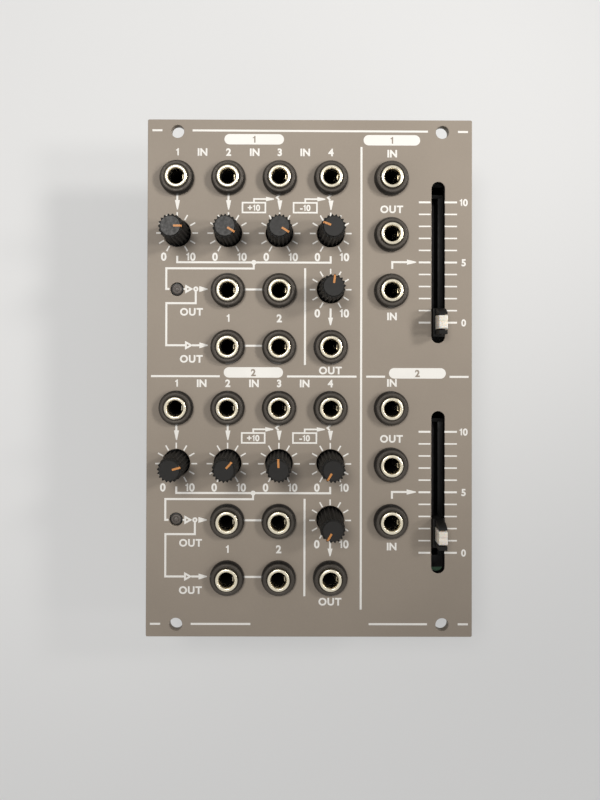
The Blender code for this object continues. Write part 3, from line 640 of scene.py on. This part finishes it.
def jack_body_mesh():
    """Moulded body with its stepped top, a side recess, the feet on the board and the lining of the bore, in
    a darker, duller black that is painted shade for the deep bore.
    """
    solid = bmesh.new()
    height = (BACK - SEAT) / MM - 0.3
    block(solid, (-BODY_SIDE, -BODY_END, 0.25), (BODY_SIDE, BODY_END, height - 0.5), 0.35)
    block(solid, (-3.9, -4.4, height - 0.9), (3.9, 4.4, height - 0.05), 0.2)
    bm = bored(solid, 1.79, 1.05, height + 1.0)
    lathe(bm, [(3.6, height - 0.3), (3.6, height + 0.12), (3.3, height + 0.22), (1.85, height + 0.22)], 48)
    for side in (-1, 1):
        for end in (-1, 1):
            slab(bm, side * 3.7, end * 4.3, 1.0, 1.0, 0.0, 0.4, 0.1)
        slab(bm, side * BODY_SIDE, 0.0, 0.24, 2.8, 1.6, 6.4, 0.08)
    rim = (RIM - SEAT) / MM
    # The lining's darker black paints the shade down the bore.
    lining = [(1.82, rim - 2.5), (1.77, rim - METAL_LINING), (1.76, BORE_FLOOR), (0.0, BORE_FLOOR)]
    lathe(bm, lining, 40, material=1)
    return finish_mesh(bm, "jack_body", ["jack_plastic", "bore_black_and_shade"])


def jack_metal_mesh():
    """Nickel bushing with thread and bore, the contact inside, the ground lug and the soldered pins."""
    bm = bmesh.new()
    rim = (RIM - SEAT) / MM
    thread, height, pitch = [], (BACK - SEAT) / MM - 0.05, 0.4
    while height < rim - 0.45:
        thread += [(2.78, height), (2.62, height + pitch / 2)]
        height += pitch
    outside = thread + [(2.76, rim - 0.36), (2.68, rim - 0.10), (2.52, rim)]
    inside = [(2.16, rim), (2.06, rim - 0.06), (1.86, rim - 0.5), (1.80, rim - 0.7),
              (1.80, rim - METAL_LINING)]
    lathe(bm, outside + inside, 64)
    leaf = [(1.58, rim - 8.6), (1.15, rim - 7.0), (0.92, rim - 5.4), (0.98, rim - 4.2), (1.20, rim - 2.8),
            (1.52, rim - 1.3)]
    strip(bm, leaf, 0.16, -0.55, 0.55, axis=1)
    for y in (-4.6, 0.4, 3.4):
        slab(bm, 0.0, y, 0.9, 0.32, LEG_END, 0.3, 0.08)
        solder(bm, 0.0, y, UNDER, -1)
    slab(bm, 0.0, -5.34, 1.0, 0.16, 0.1, 6.8, 0.05)
    return finish_mesh(bm, "jack_metal", ["jack_metal"])


def nut_mesh():
    """Round black nut: a flat top with a shallow groove beside the bushing, a chamfer, and a side darker than
    the top; the lighter top is painted sheen, the darker side painted shade.
    """
    bm = bmesh.new()
    top = (RIM - FRONT) / MM - 0.4
    foot, chamfer = (2.80, 0.06), (3.94, top - 0.34)
    face = [chamfer, (3.78, top - 0.08), (3.70, top - 0.02), (3.62, top), (3.20, top), (3.08, top - 0.05),
            (2.92, top - 0.22), (2.80, top - 0.24), foot]
    side = [foot, (4.18, 0.06), (4.27, 0.16), (4.27, top - 1.00), (4.22, top - 0.84), chamfer]
    # The top takes the painted sheen, the side the painted shade.
    lathe(bm, face, 72)
    lathe(bm, side, 72, material=1)
    return finish_mesh(bm, "jack_nut", ["nut_top_black_and_sheen", "nut_side_black_and_shade"], angle=30)


def build_jacks():
    body, metal, nut = jack_body_mesh(), jack_metal_mesh(), nut_mesh()
    for jack in JACKS:
        x, y = middle(jack)
        place(jack + "_body", body, (x, y, SEAT), node=jack)
        place(jack + "_bushing", metal, (x, y, SEAT))
        place(jack + "_nut", nut, (x, y, FRONT))


RIBS, RIB_STEPS = 18, 12


def knob_mesh(shaft_end):
    """Ribbed, slightly tapered cap with a flat disc on top, and the shaft below."""
    bm = bmesh.new()
    levels = [
        (-1.0, 2.90, 0.30), (-0.8, 3.12, 0.42), (0.4, 3.12, 0.46), (3.0, 3.07, 0.46), (6.0, 3.02, 0.46),
        (8.6, 2.98, 0.46), (9.1, 2.97, 0.46), (9.3, 2.93, 0.44), (9.36, 2.84, 0.36),
    ]
    disc = [(9.38, 2.44), (9.50, 2.42), (9.66, 2.28), (9.65, 1.4), (9.64, 0.5)]
    count = RIBS * RIB_STEPS
    turns = [math.pi / 2 + math.tau * step / count for step in range(count)]
    rings = []
    for height, radius, depth in levels + [(height, radius, 0.0) for height, radius in disc]:
        ring = []
        for turn in turns:
            groove = (0.5 - 0.5 * math.cos(RIBS * (turn - math.pi / 2))) ** 0.8
            reach = radius - depth * groove
            ring.append(bm.verts.new(Vector((reach * math.cos(turn), reach * math.sin(turn), height)) * MM))
        rings.append(ring)
    for index, (low, high) in enumerate(zip(rings, rings[1:])):
        for step in range(count):
            after = (step + 1) % count
            face = bm.faces.new((low[step], low[after], high[after], high[step]))
            face.material_index = 1 if index >= len(levels) else 0
    bm.faces.new(rings[-1]).material_index = 1
    bm.faces.new(list(reversed(rings[0])))
    lathe(bm, [(0.0, shaft_end), (1.9, shaft_end), (2.08, shaft_end + 0.2), (2.08, -0.9)], 40, material=2)
    return finish_mesh(bm, "knob", ["knob_plastic", "knob_cap", "tin"])


def pointer_mesh():
    """Orange line let into the disc, over its edge and onto one rib."""
    bm = bmesh.new()
    path = [(0.70, 9.65), (2.05, 9.67), (2.26, 9.65), (2.41, 9.52), (2.46, 9.40), (2.66, 9.37)]
    strip(bm, path, 0.06, -0.24, 0.24)
    return finish_mesh(bm, "pointer", ["pointer_paint"], angle=25)


def pot_mesh():
    """Folded steel case on a brown wafer, with bent tabs, a black collar as painted shade in the gap round
    the knob, and the soldered legs.
    """
    bm = bmesh.new()
    block(bm, (-4.8, -5.3, 1.0), (4.8, 5.3, 5.9), 0.45, segments=3)
    block(bm, (-4.6, -5.1, 0.1), (4.6, 5.1, 1.3), 0.12, material=1)
    for side in (-1, 1):
        for y in (-3.2, 3.2):
            slab(bm, side * 4.72, y, 0.32, 1.6, 0.15, 3.2, 0.08)
        slab(bm, side * 4.5, 0.0, 0.4, 1.8, LEG_END, 1.4, 0.1)
        solder(bm, side * 4.5, 0.0, UNDER, -1)
    # The collar takes the fader case's black: painted shade seen through the gap round the knob.
    collar = [(4.0, 5.8), (4.0, 6.15), (3.9, 6.3), (3.05, 6.3), (3.0, 6.5), (3.0, 8.3), (2.85, 8.5),
              (2.4, 8.5), (2.4, 3.8), (0.0, 3.8)]
    lathe(bm, collar, 48, material=2)
    for x in (-2.5, 0.0, 2.5):
        slab(bm, x, -5.1, 0.7, 0.3, LEG_END, 0.6, 0.06)
        solder(bm, x, -5.1, UNDER, -1)
    return finish_mesh(bm, "pot", ["pot_case", "phenolic", "fader_case"])


def build_controls():
    pot = pot_mesh()
    for name in POTS:
        place(name + "_case", pot, (*middle(name), SEAT), node=name)
    shaft_end = (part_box("mixer_1_offset_knob")[0].z - FRONT) / MM
    knob, pointer = knob_mesh(shaft_end), pointer_mesh()
    for joint in KNOB_JOINTS:
        body = joint["child"]
        turn = TURN_AT_ZERO - joint["range_deg"][0]
        where = (*joint["pos_m"][:2], FRONT)
        place(body + "_cap", knob, where, body, turn, node=body)
        place(body + "_pointer", pointer, where, body, turn)


LAMP_FLANGE = 5.35


def led_mesh():
    """Smoked lens: a low dome with a groove round its middle, a darker rim painted as shade at the dome's
    edge, and the flange.
    """
    bm = bmesh.new()
    top = (FRONT - SEAT) / MM + 0.1
    flange = top - LAMP_FLANGE
    seam = (1.24, top - 0.55)
    dome = [seam, (1.22, top - 0.40), (1.14, top - 0.27), (0.98, top - 0.20), (0.80, top - 0.19),
            (0.72, top - 0.30), (0.62, top - 0.30), (0.54, top - 0.12), (0.38, top - 0.04), (0.2, top - 0.01),
            (0.0, top)]
    rim = [(0.0, flange), (1.85, flange), (1.88, flange + 0.1), (1.88, flange + 0.9), (1.80, flange + 1.0),
           (1.48, flange + 1.0), (1.48, top - 0.70), (1.42, top - 0.58), seam]
    lathe(bm, dome, 40)
    # The rim round the dome is painted darker as shade.
    lathe(bm, rim, 40, material=1)
    return finish_mesh(bm, "led", ["led_lens", "led_rim_painted_shade"])


def led_leg_mesh():
    bm = bmesh.new()
    top = (FRONT - SEAT) / MM + 0.1 - LAMP_FLANGE
    for x in (-PITCH / 2, PITCH / 2):
        slab(bm, x, 0.0, 0.48, 0.48, LEG_END, top + 0.1, 0.05)
        slab(bm, x, 0.0, 0.9, 0.52, 2.4, 3.2, 0.05)
        solder(bm, x, 0.0, UNDER, -1)
    return finish_mesh(bm, "led_legs", ["tin"])


def build_lamps():
    lens, legs = led_mesh(), led_leg_mesh()
    for name in LAMPS:
        where = (*middle(name), SEAT)
        place(name + "_lens", lens, where, node=name)
        place(name + "_legs", legs, where)


def fader_body_mesh(length):
    """Long black case with the track, folded end plates and soldered legs. The track's floor is a lighter
    grey as painted light in the shaded groove.
    """
    bm = bmesh.new()
    half = length / 2
    top = 7.2
    for side in (-1, 1):
        slab(bm, side * 2.2, 0.0, 2.6, 2 * half - 3.2, 0.2, top - 0.1, 0.3)
    # The track's floor takes the lighter grey, painted light in the shaded groove.
    slab(bm, 0.0, 0.0, 6.8, 2 * half - 0.4, 0.1, 3.1, 0.2, material=2)
    slab(bm, 0.0, half - 0.8, 6.8, 3.0, top - 0.5, top, 0.1)
    for end in (-1, 1):
        slab(bm, 0.0, end * (half - 1.6), 7.0, 3.2, 0.0, top, 0.3)
        for x in (-2.2, 2.2):
            slab(bm, x, end * (half - 1.2), 0.8, 0.4, LEG_END, 0.4, 0.06, material=1)
            solder(bm, x, end * (half - 1.2), UNDER, -1, material=1)
    return finish_mesh(bm, "fader_body", ["fader_case", "tin", "fader_track_grey_and_light"])


def lever_mesh(low, high):
    """Milky block with a moulded groove across its top, on its stem."""
    bm = bmesh.new()
    half_width, half_length = (high.x - low.x) / MM / 2, (high.y - low.y) / MM / 2
    rise, stem_foot = (high.z - FRONT) / MM, (low.z - FRONT) / MM
    foot = 1.45
    side = [(half_length, foot), (half_length, rise - 0.30), (half_length - 0.22, rise - 0.03), (0.40, rise),
            (0.15, rise - 0.14)]
    sweep(bm, side + [(-y, z) for y, z in reversed(side)], -half_width, half_width, axis=0)
    bmesh.ops.recalc_face_normals(bm, faces=bm.faces)
    bevel(bm, list(bm.edges), 0.08)
    block(bm, (-0.58, -1.45, stem_foot + 0.05), (0.58, 1.45, foot + 0.1), 0.08)
    return finish_mesh(bm, "fader_lever", ["fader_clear"], angle=40)


def saddle_mesh(low, high):
    """Black carriage in the slot: a rounded shoulder above the block and a square one below it."""
    bm = bmesh.new()
    half = (high.y - low.y) / MM / 2
    foot, top, rise = (low.z - FRONT) / MM, 1.2, (high.z - FRONT) / MM
    for side in (-1, 1):
        slab(bm, side * 1.165, 0.0, 0.53, 2 * half, foot, top, 0.08)
    for end in (-1, 1):
        slab(bm, 0.0, end * (half + 1.85) / 2, 2.2, half - 1.85, foot, top, 0.08)
    inner = 1.93
    rounded = [(inner, top - 0.2), (half, top - 0.2)]
    for step in range(13):
        turn = math.pi / 2 * step / 12
        rounded.append((inner + (half - inner) * math.cos(turn), top + (rise - top) * math.sin(turn)))
    square = [(-inner, top - 0.2), (-inner, rise), (-inner - 0.90, rise), (-inner - 1.02, rise - 0.12),
              (-inner - 1.05, top - 0.2)]
    for profile in (rounded, square):
        sweep(bm, profile, -1.0, 1.0, axis=0)
    return finish_mesh(bm, "fader_saddle", ["saddle_plastic"], angle=32)


def build_faders():
    for number in (1, 2):
        prefix = f"glide_{number}_fader"
        node = prefix + "_body"
        case = fader_body_mesh(extent(node).y)
        place(prefix + "_case", case, (*middle(node), SEAT), node=node)
        where = (*middle(prefix + "_lever"), FRONT)
        lever, saddle = lever_mesh(*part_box(prefix + "_lever")), saddle_mesh(*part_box(prefix + "_saddle"))
        place(prefix + "_block", lever, where, prefix, node=prefix + "_lever")
        place(prefix + "_carriage", saddle, where, prefix, node=prefix + "_saddle")


BOARD_FINISHES = ["solder_mask", "bare_board", "trace", "tin"]
MASK, EDGE, TRACE, PAD = range(4)
PART_FINISHES = ["chip_plastic", "ceramic", "tin", "silk"]
EPOXY, CERAMIC, TINNED, PRINTED = range(4)
CHIP_COLUMN, CHIP_ROWS = 17.0, (20.0, 34.0)
HEADER_REACH, CAN_GAP, CAN_BASE, CAN_ROW = 13.95, 2.5, 3.15, 4.5


def add_traces(bm, level, up, count, seed, width=36.0, height=50.0):
    """Copper lines under the mask, each with a bend at 45 degrees and a ring at both ends.

    Their heights take turns, so that lines that cross don't share a level.
    """
    chance = random.Random(seed)
    for number in range(count):
        low, high = sorted((level - 0.01 * up, level + (0.02 + 0.0015 * (number % 13)) * up))
        x, y = chance.uniform(-width, width), chance.uniform(-height, height)
        along, across = (chance.choice((-1, 1)) * chance.uniform(3, 15) for _ in range(2))
        bend = chance.uniform(0.8, 2.4)
        step_x, step_y = math.copysign(bend, along), math.copysign(bend, across)
        end = (x + along + step_x, y + across + step_y)
        points = [(x, y), (x + along, y), (end[0], y + step_y), end]
        if number % 2:
            points = [(x, y), (x, y + across), (x + step_x, end[1]), end]
        if max(abs(px) for px, _ in points) > width or max(abs(py) for _, py in points) > height:
            continue
        stroke(bm, points, chance.choice((0.25, 0.25, 0.5)), low, high, material=TRACE)
        for px, py in (points[0], points[-1]):
            face = level + 0.045 * up
            lathe(bm, [(0.42, level), (0.40, face), (0.20, face), (0.18, level)], 14, px, py, PAD)


def add_small_part(bm, x, y, turned, material):
    """A chip resistor or capacitor with tinned ends, on the back of the main board."""
    shapes = ((0.0, 1.0, 0.45, material), (-0.65, 0.36, 0.5, TINNED), (0.65, 0.36, 0.5, TINNED))
    for along, length, tall, finish in shapes:
        size = (0.8, length) if turned else (length, 0.8)
        spot = (x, y + along) if turned else (x + along, y)
        slab(bm, *spot, *size, MAIN_LOW - 0.02, MAIN_LOW - tall, 0.04, finish)


def add_chip(bm, x, y):
    """A chip with seven bent legs on each side, a dimple by its first leg and a printed outline."""
    slab(bm, x, y, 8.7, 3.9, MAIN_LOW - 0.15, MAIN_LOW - 1.6, 0.18, EPOXY)
    dimple = [(0.36, MAIN_LOW - 1.605), (0.32, MAIN_LOW - 1.62), (0.0, MAIN_LOW - 1.61)]
    lathe(bm, dimple, 16, x - 3.6, y - 1.1, EPOXY)
    for side in (-1, 1):
        path = [(1.90, 0.80), (2.30, 0.80), (2.48, 0.16), (2.95, 0.10)]
        path = [(y + side * away, MAIN_LOW - height) for away, height in path]
        for step in range(7):
            leg = x + PITCH / 2 * (step - 3)
            strip(bm, path, 0.16, leg - 0.2, leg + 0.2, axis=0, material=TINNED)
            slab(bm, leg, y + side * 2.85, 0.6, 1.0, MAIN_LOW, MAIN_LOW - 0.05, 0.0, TINNED)
    stroke(bm, [(x - 4.8, y - 2.1), (x - 4.8, y + 2.1)], 0.15, MAIN_LOW - 0.04, MAIN_LOW, material=PRINTED)


def build_board(name, node, low, high, *traces):
    """A board with cut corners and bare edges. traces are the counts and seeds of its front and its back."""
    bm = bmesh.new()
    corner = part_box(node)[1] / MM
    width, height, cut = corner.x, corner.y, 1.0
    outline = [(width, height - cut), (width - cut, height)]
    outline += [(-x, y) for x, y in reversed(outline)]
    outline += [(x, -y) for x, y in reversed(outline)]
    sweep(bm, outline, low, high)
    bm.normal_update()
    for face in bm.faces:
        face.material_index = MASK if abs(face.normal.z) > 0.5 else EDGE
    for (level, up), (count, seed) in zip(((high, 1), (low, -1)), traces):
        add_traces(bm, level, up, count, seed)
    place(name, finish_mesh(bm, name, BOARD_FINISHES), node=node)


def build_main_parts():
    """The chips, filter capacitors and chip resistors on the back of the main board."""
    parts = bmesh.new()
    spots = []
    for side, end in CORNERS:
        for row in CHIP_ROWS:
            add_chip(parts, side * CHIP_COLUMN, end * row)
            spots += [(side * CHIP_COLUMN + 2.1 * (step - 2.5), end * row + 6.0, True) for step in range(6)]
        spots += [(side * 26.5, end * (14.0 + 4.0 * step), False) for step in range(6)]
        spots += [(side * 4.5, end * (12.0 + 4.0 * step), False) for step in range(7)]
    for number, (x, y, turned) in enumerate(spots):
        add_small_part(parts, x, y, turned, EPOXY if number % 3 else CERAMIC)
    place("main_parts", finish_mesh(parts, "main_parts", PART_FINISHES))
    can = can_mesh()
    header_x = middle("power_header")[0] / MM
    for side, end in CORNERS:
        x = side * (HEADER_REACH + CAN_GAP + CAN_BASE) + header_x
        name = f"filter_can_{'left' if side < 0 else 'right'}_{'low' if end < 0 else 'high'}"
        place(name, can, (x * MM, end * CAN_ROW * MM, MAIN_LOW * MM))


def can_mesh():
    """Aluminium can on a black base, rolled in near its foot, with a dark mark on its end."""
    bm = bmesh.new()
    can = [(0.0, -5.34), (2.75, -5.34), (3.0, -5.22), (3.1, -4.95), (3.1, -1.95), (2.85, -1.65),
           (2.85, -1.45), (3.1, -1.15), (3.1, -0.6), (0.0, -0.6)]
    lathe(bm, can, 48)
    half, cut = CAN_BASE, 2.3
    base = [(half, -cut), (half, cut), (cut, half), (-half, half), (-half, -half), (cut, -half)]
    sweep(bm, base, -0.62, -0.02, material=1)
    mark = arc(0.0, 0.0, 2.74, -65, 65, 16)
    sweep(bm, mark, -5.352, -5.33, material=2)
    for side in (-1, 1):
        slab(bm, side * 2.9, 0.0, 1.4, 0.8, -0.12, 0.0, 0.0, material=3)
    return finish_mesh(bm, "filter_can", ["bare_metal", "chip_plastic", "can_mark", "tin"])


def link_mesh():
    """Ten pairs of pins between a socket on the lower board and a strip on the upper one."""
    bm = bmesh.new()
    _, length, top = extent("board_link_1")
    slab(bm, 0.0, 0.0, 5.0, length, 0.0, 3.4, 0.15)
    for column in range(10):
        y = (column - 4.5) * length / 10
        slab(bm, 0.0, y, 5.0, length / 10 - 0.02, top - 1.6, top, 0.25)
        for x in (-PITCH / 2, PITCH / 2):
            slab(bm, x, y, 0.64, 0.64, -1.0, top + 2.6, 0.08, material=1)
            slab(bm, x, y, 1.1, 1.1, 3.3, 3.42, 0.0, material=2)
    return finish_mesh(bm, "board_link", ["link_plastic", "gold", "chip_plastic"])


def spacer_mesh():
    """Hexagonal spacer with chamfered ends, and a screw's head on the far side of the main board."""
    bm = bmesh.new()
    tall = extent("board_spacer_1").z
    for level, up in ((-0.3, -1), (tall + 0.3, 1)):
        lathe(bm, [(2.55, level), (2.9, level - 0.32 * up), (2.9, tall / 2)], 6, start=math.pi / 6)
        lathe(bm, [(2.55, level), (0.0, level)], 6, start=math.pi / 6)
    seat = -0.3 - BOARD_THICKNESS
    lathe(bm, [(2.9, seat), (2.85, seat - 0.7), (2.2, seat - 1.25), (1.1, seat - 1.45), (1.0, seat - 1.3),
               (0.9, seat - 0.7), (0.0, seat - 0.6)], 40, material=1)
    return finish_mesh(bm, "board_spacer", ["spacer_brass", "tin"], angle=30)


def header_mesh():
    """Shroud open at the back, with a key notch and two rows of pointed pins."""
    bm = bmesh.new()
    half_x, half_y, _ = extent("power_header") / 2
    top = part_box("power_header")[1].z / MM
    wall, floor, notch, mouth = 1.2, top - 2.5, 2.25, 0.02
    slab(bm, 0.0, 0.0, 2 * half_x, 2 * half_y, floor, top, 0.2)
    for side in (-1, 1):
        slab(bm, side * (half_x - wall / 2), 0.0, wall, 2 * half_y, mouth, floor + 0.4, 0.2)
        slab(bm, side * (half_x + notch) / 2, wall / 2 - half_y, half_x - notch, wall, mouth, floor + 0.4,
             0.2)
    slab(bm, 0.0, half_y - wall / 2, 2 * half_x, wall, mouth, floor + 0.4, 0.2)
    slab(bm, 0.0, wall / 2 - half_y, 2 * notch + 0.6, wall - 0.05, 5.0, floor + 0.4, 0.1)
    pin = [(0.0, 0.5), (0.2, 0.5), (0.45, 0.95), (0.45, top + 3.2), (0.0, top + 3.3)]
    for column in range(8):
        x = (column - 3.5) * PITCH
        for y in (-PITCH / 2, PITCH / 2):
            lathe(bm, pin, 4, x, y, 1, math.pi / 4)
            solder(bm, x, y, MAIN_HIGH, 1, material=2)
    return finish_mesh(bm, "power_header", ["header_plastic", "gold", "tin"], angle=30)


def build_boards():
    build_board("control_plate", "control_board", CONTROL_LOW, CONTROL_HIGH, (90, 3), (130, 5))
    build_board("main_plate", "main_board", MAIN_LOW, MAIN_HIGH, (110, 7), (150, 11))
    build_main_parts()
    link, spacer = link_mesh(), spacer_mesh()
    for number in (1, 2):
        for name, mesh in ((f"board_link_{number}", link), (f"board_spacer_{number}", spacer)):
            place(name + "_piece", mesh, (*middle(name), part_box(name)[0].z), node=name)
    where = (*middle("power_header"), 0.0)
    place("power_header_piece", header_mesh(), where, node="power_header")


# Camera, fitted to the panel in the photograph. Its place is from the middle of the panel's front.
CAMERA_PLACE, CAMERA_TURNS = (-6.3627, 7.8146, 154.2347), (0.43453, -0.15134, 0.15872)
CAMERA_LENS, CAMERA_SHIFT = 27.9, (0.017953, -0.073378)


def build_camera():
    data = bpy.data.cameras.new("camera")
    data.sensor_width = 36.0
    data.lens = CAMERA_LENS
    data.shift_x, data.shift_y = CAMERA_SHIFT
    data.clip_start = 0.005
    data.clip_end = 20.0
    camera = linked("camera", data)
    x, y, above = CAMERA_PLACE
    camera.location = (x * MM, y * MM, FRONT + above * MM)
    camera.rotation_euler = [math.radians(angle) for angle in CAMERA_TURNS]
    bpy.context.scene.camera = camera


def add_light(name, kind, where, aim, power, **values):
    data = bpy.data.lights.new(name, kind)
    data.energy = power
    data.color = (1.0, 0.975, 0.94)
    for key, value in values.items():
        setattr(data, key, value)
    light = linked(name, data)
    light.location = where
    light.rotation_euler = (Vector(aim) - Vector(where)).to_track_quat("-Z", "Y").to_euler()


def seen_directly(tree):
    """1 for the rays that show the background itself, and 0 for those that light the object."""
    path = add_node(tree, "ShaderNodeLightPath").outputs
    value = path["Is Camera Ray"]
    for name in ("Is Glossy Ray", "Is Transmission Ray"):
        value = add_node(tree, "ShaderNodeMath", {0: value, 1: path[name]}, operation="MAXIMUM").outputs[0]
    return value


FLOOR_REACH, FLOOR_GAP, FLOOR_GLOW = 1.5, 0.2, 0.36


def build_floor():
    """Pale floor. Part of its brightness is its own where it is seen, and the rest takes the shadow."""
    bm = bmesh.new()
    bmesh.ops.create_grid(bm, x_segments=1, y_segments=1, size=FLOOR_REACH)
    mesh = mesh_from(bm, "floor")
    material = bpy.data.materials.new("floor")
    material.use_nodes = True
    tree = material.node_tree
    shader = tree.nodes["Principled BSDF"]
    pattern = noise(tree, add_node(tree, "ShaderNodeTexCoord").outputs["Object"], 6.0)
    colour = mix(tree, pattern, (0.42, 0.42, 0.42), (0.46, 0.46, 0.455))
    feed(shader, {"Base Color": colour, "Roughness": 0.9})
    share = add_node(tree, "ShaderNodeMath", {0: seen_directly(tree), 1: FLOOR_GLOW}, operation="MULTIPLY")
    glow = add_node(tree, "ShaderNodeEmission", {"Color": (0.99, 0.99, 0.98), "Strength": share.outputs[0]})
    both = add_node(tree, "ShaderNodeAddShader", {0: shader.outputs[0], 1: glow.outputs[0]})
    feed(tree.nodes["Material Output"], {"Surface": both.outputs[0]})
    mesh.materials.append(material)
    floor = linked("floor", mesh)
    floor.location = (0.0, 0.0, -FLOOR_GAP * MM)


def build_world():
    world = bpy.data.worlds.new("studio")
    bpy.context.scene.world = world
    world.use_nodes = True
    tree = world.node_tree
    background = tree.nodes["Background"]
    feed(background, {"Color": (0.98, 0.98, 1.0), "Strength": 0.27})
    pale = add_node(tree, "ShaderNodeBackground", {"Color": (0.92, 0.92, 0.91), "Strength": 0.95})
    inputs = {0: seen_directly(tree), 1: background.outputs[0], 2: pale.outputs[0]}
    blend = add_node(tree, "ShaderNodeMixShader", inputs)
    feed(tree.nodes["World Output"], {"Surface": blend.outputs[0]})


def build_lights():
    """Two soft lamps from the right, brightest on the upper half, and a small weak one at the upper left."""
    target = (0.0, 0.085, 0.03)
    beam = dict(shadow_soft_size=0.045, spot_size=math.radians(37), spot_blend=1.0)
    add_light("key_high", "SPOT", (0.393, 0.187, 0.38), target, 5.2, **beam)
    add_light("key_low", "SPOT", (0.420, 0.030, 0.38), target, 3.4, **beam)
    add_light("fill", "AREA", (-0.105, 0.135, 0.45), (-0.02, 0.02, 0.03), 0.74, shape="DISK", size=0.15)


build_panel()
build_print()
build_jacks()
build_controls()
build_lamps()
build_faders()
build_boards()
build_camera()
build_floor()
build_world()
build_lights()
bpy.context.scene.view_settings.view_transform = "Standard"
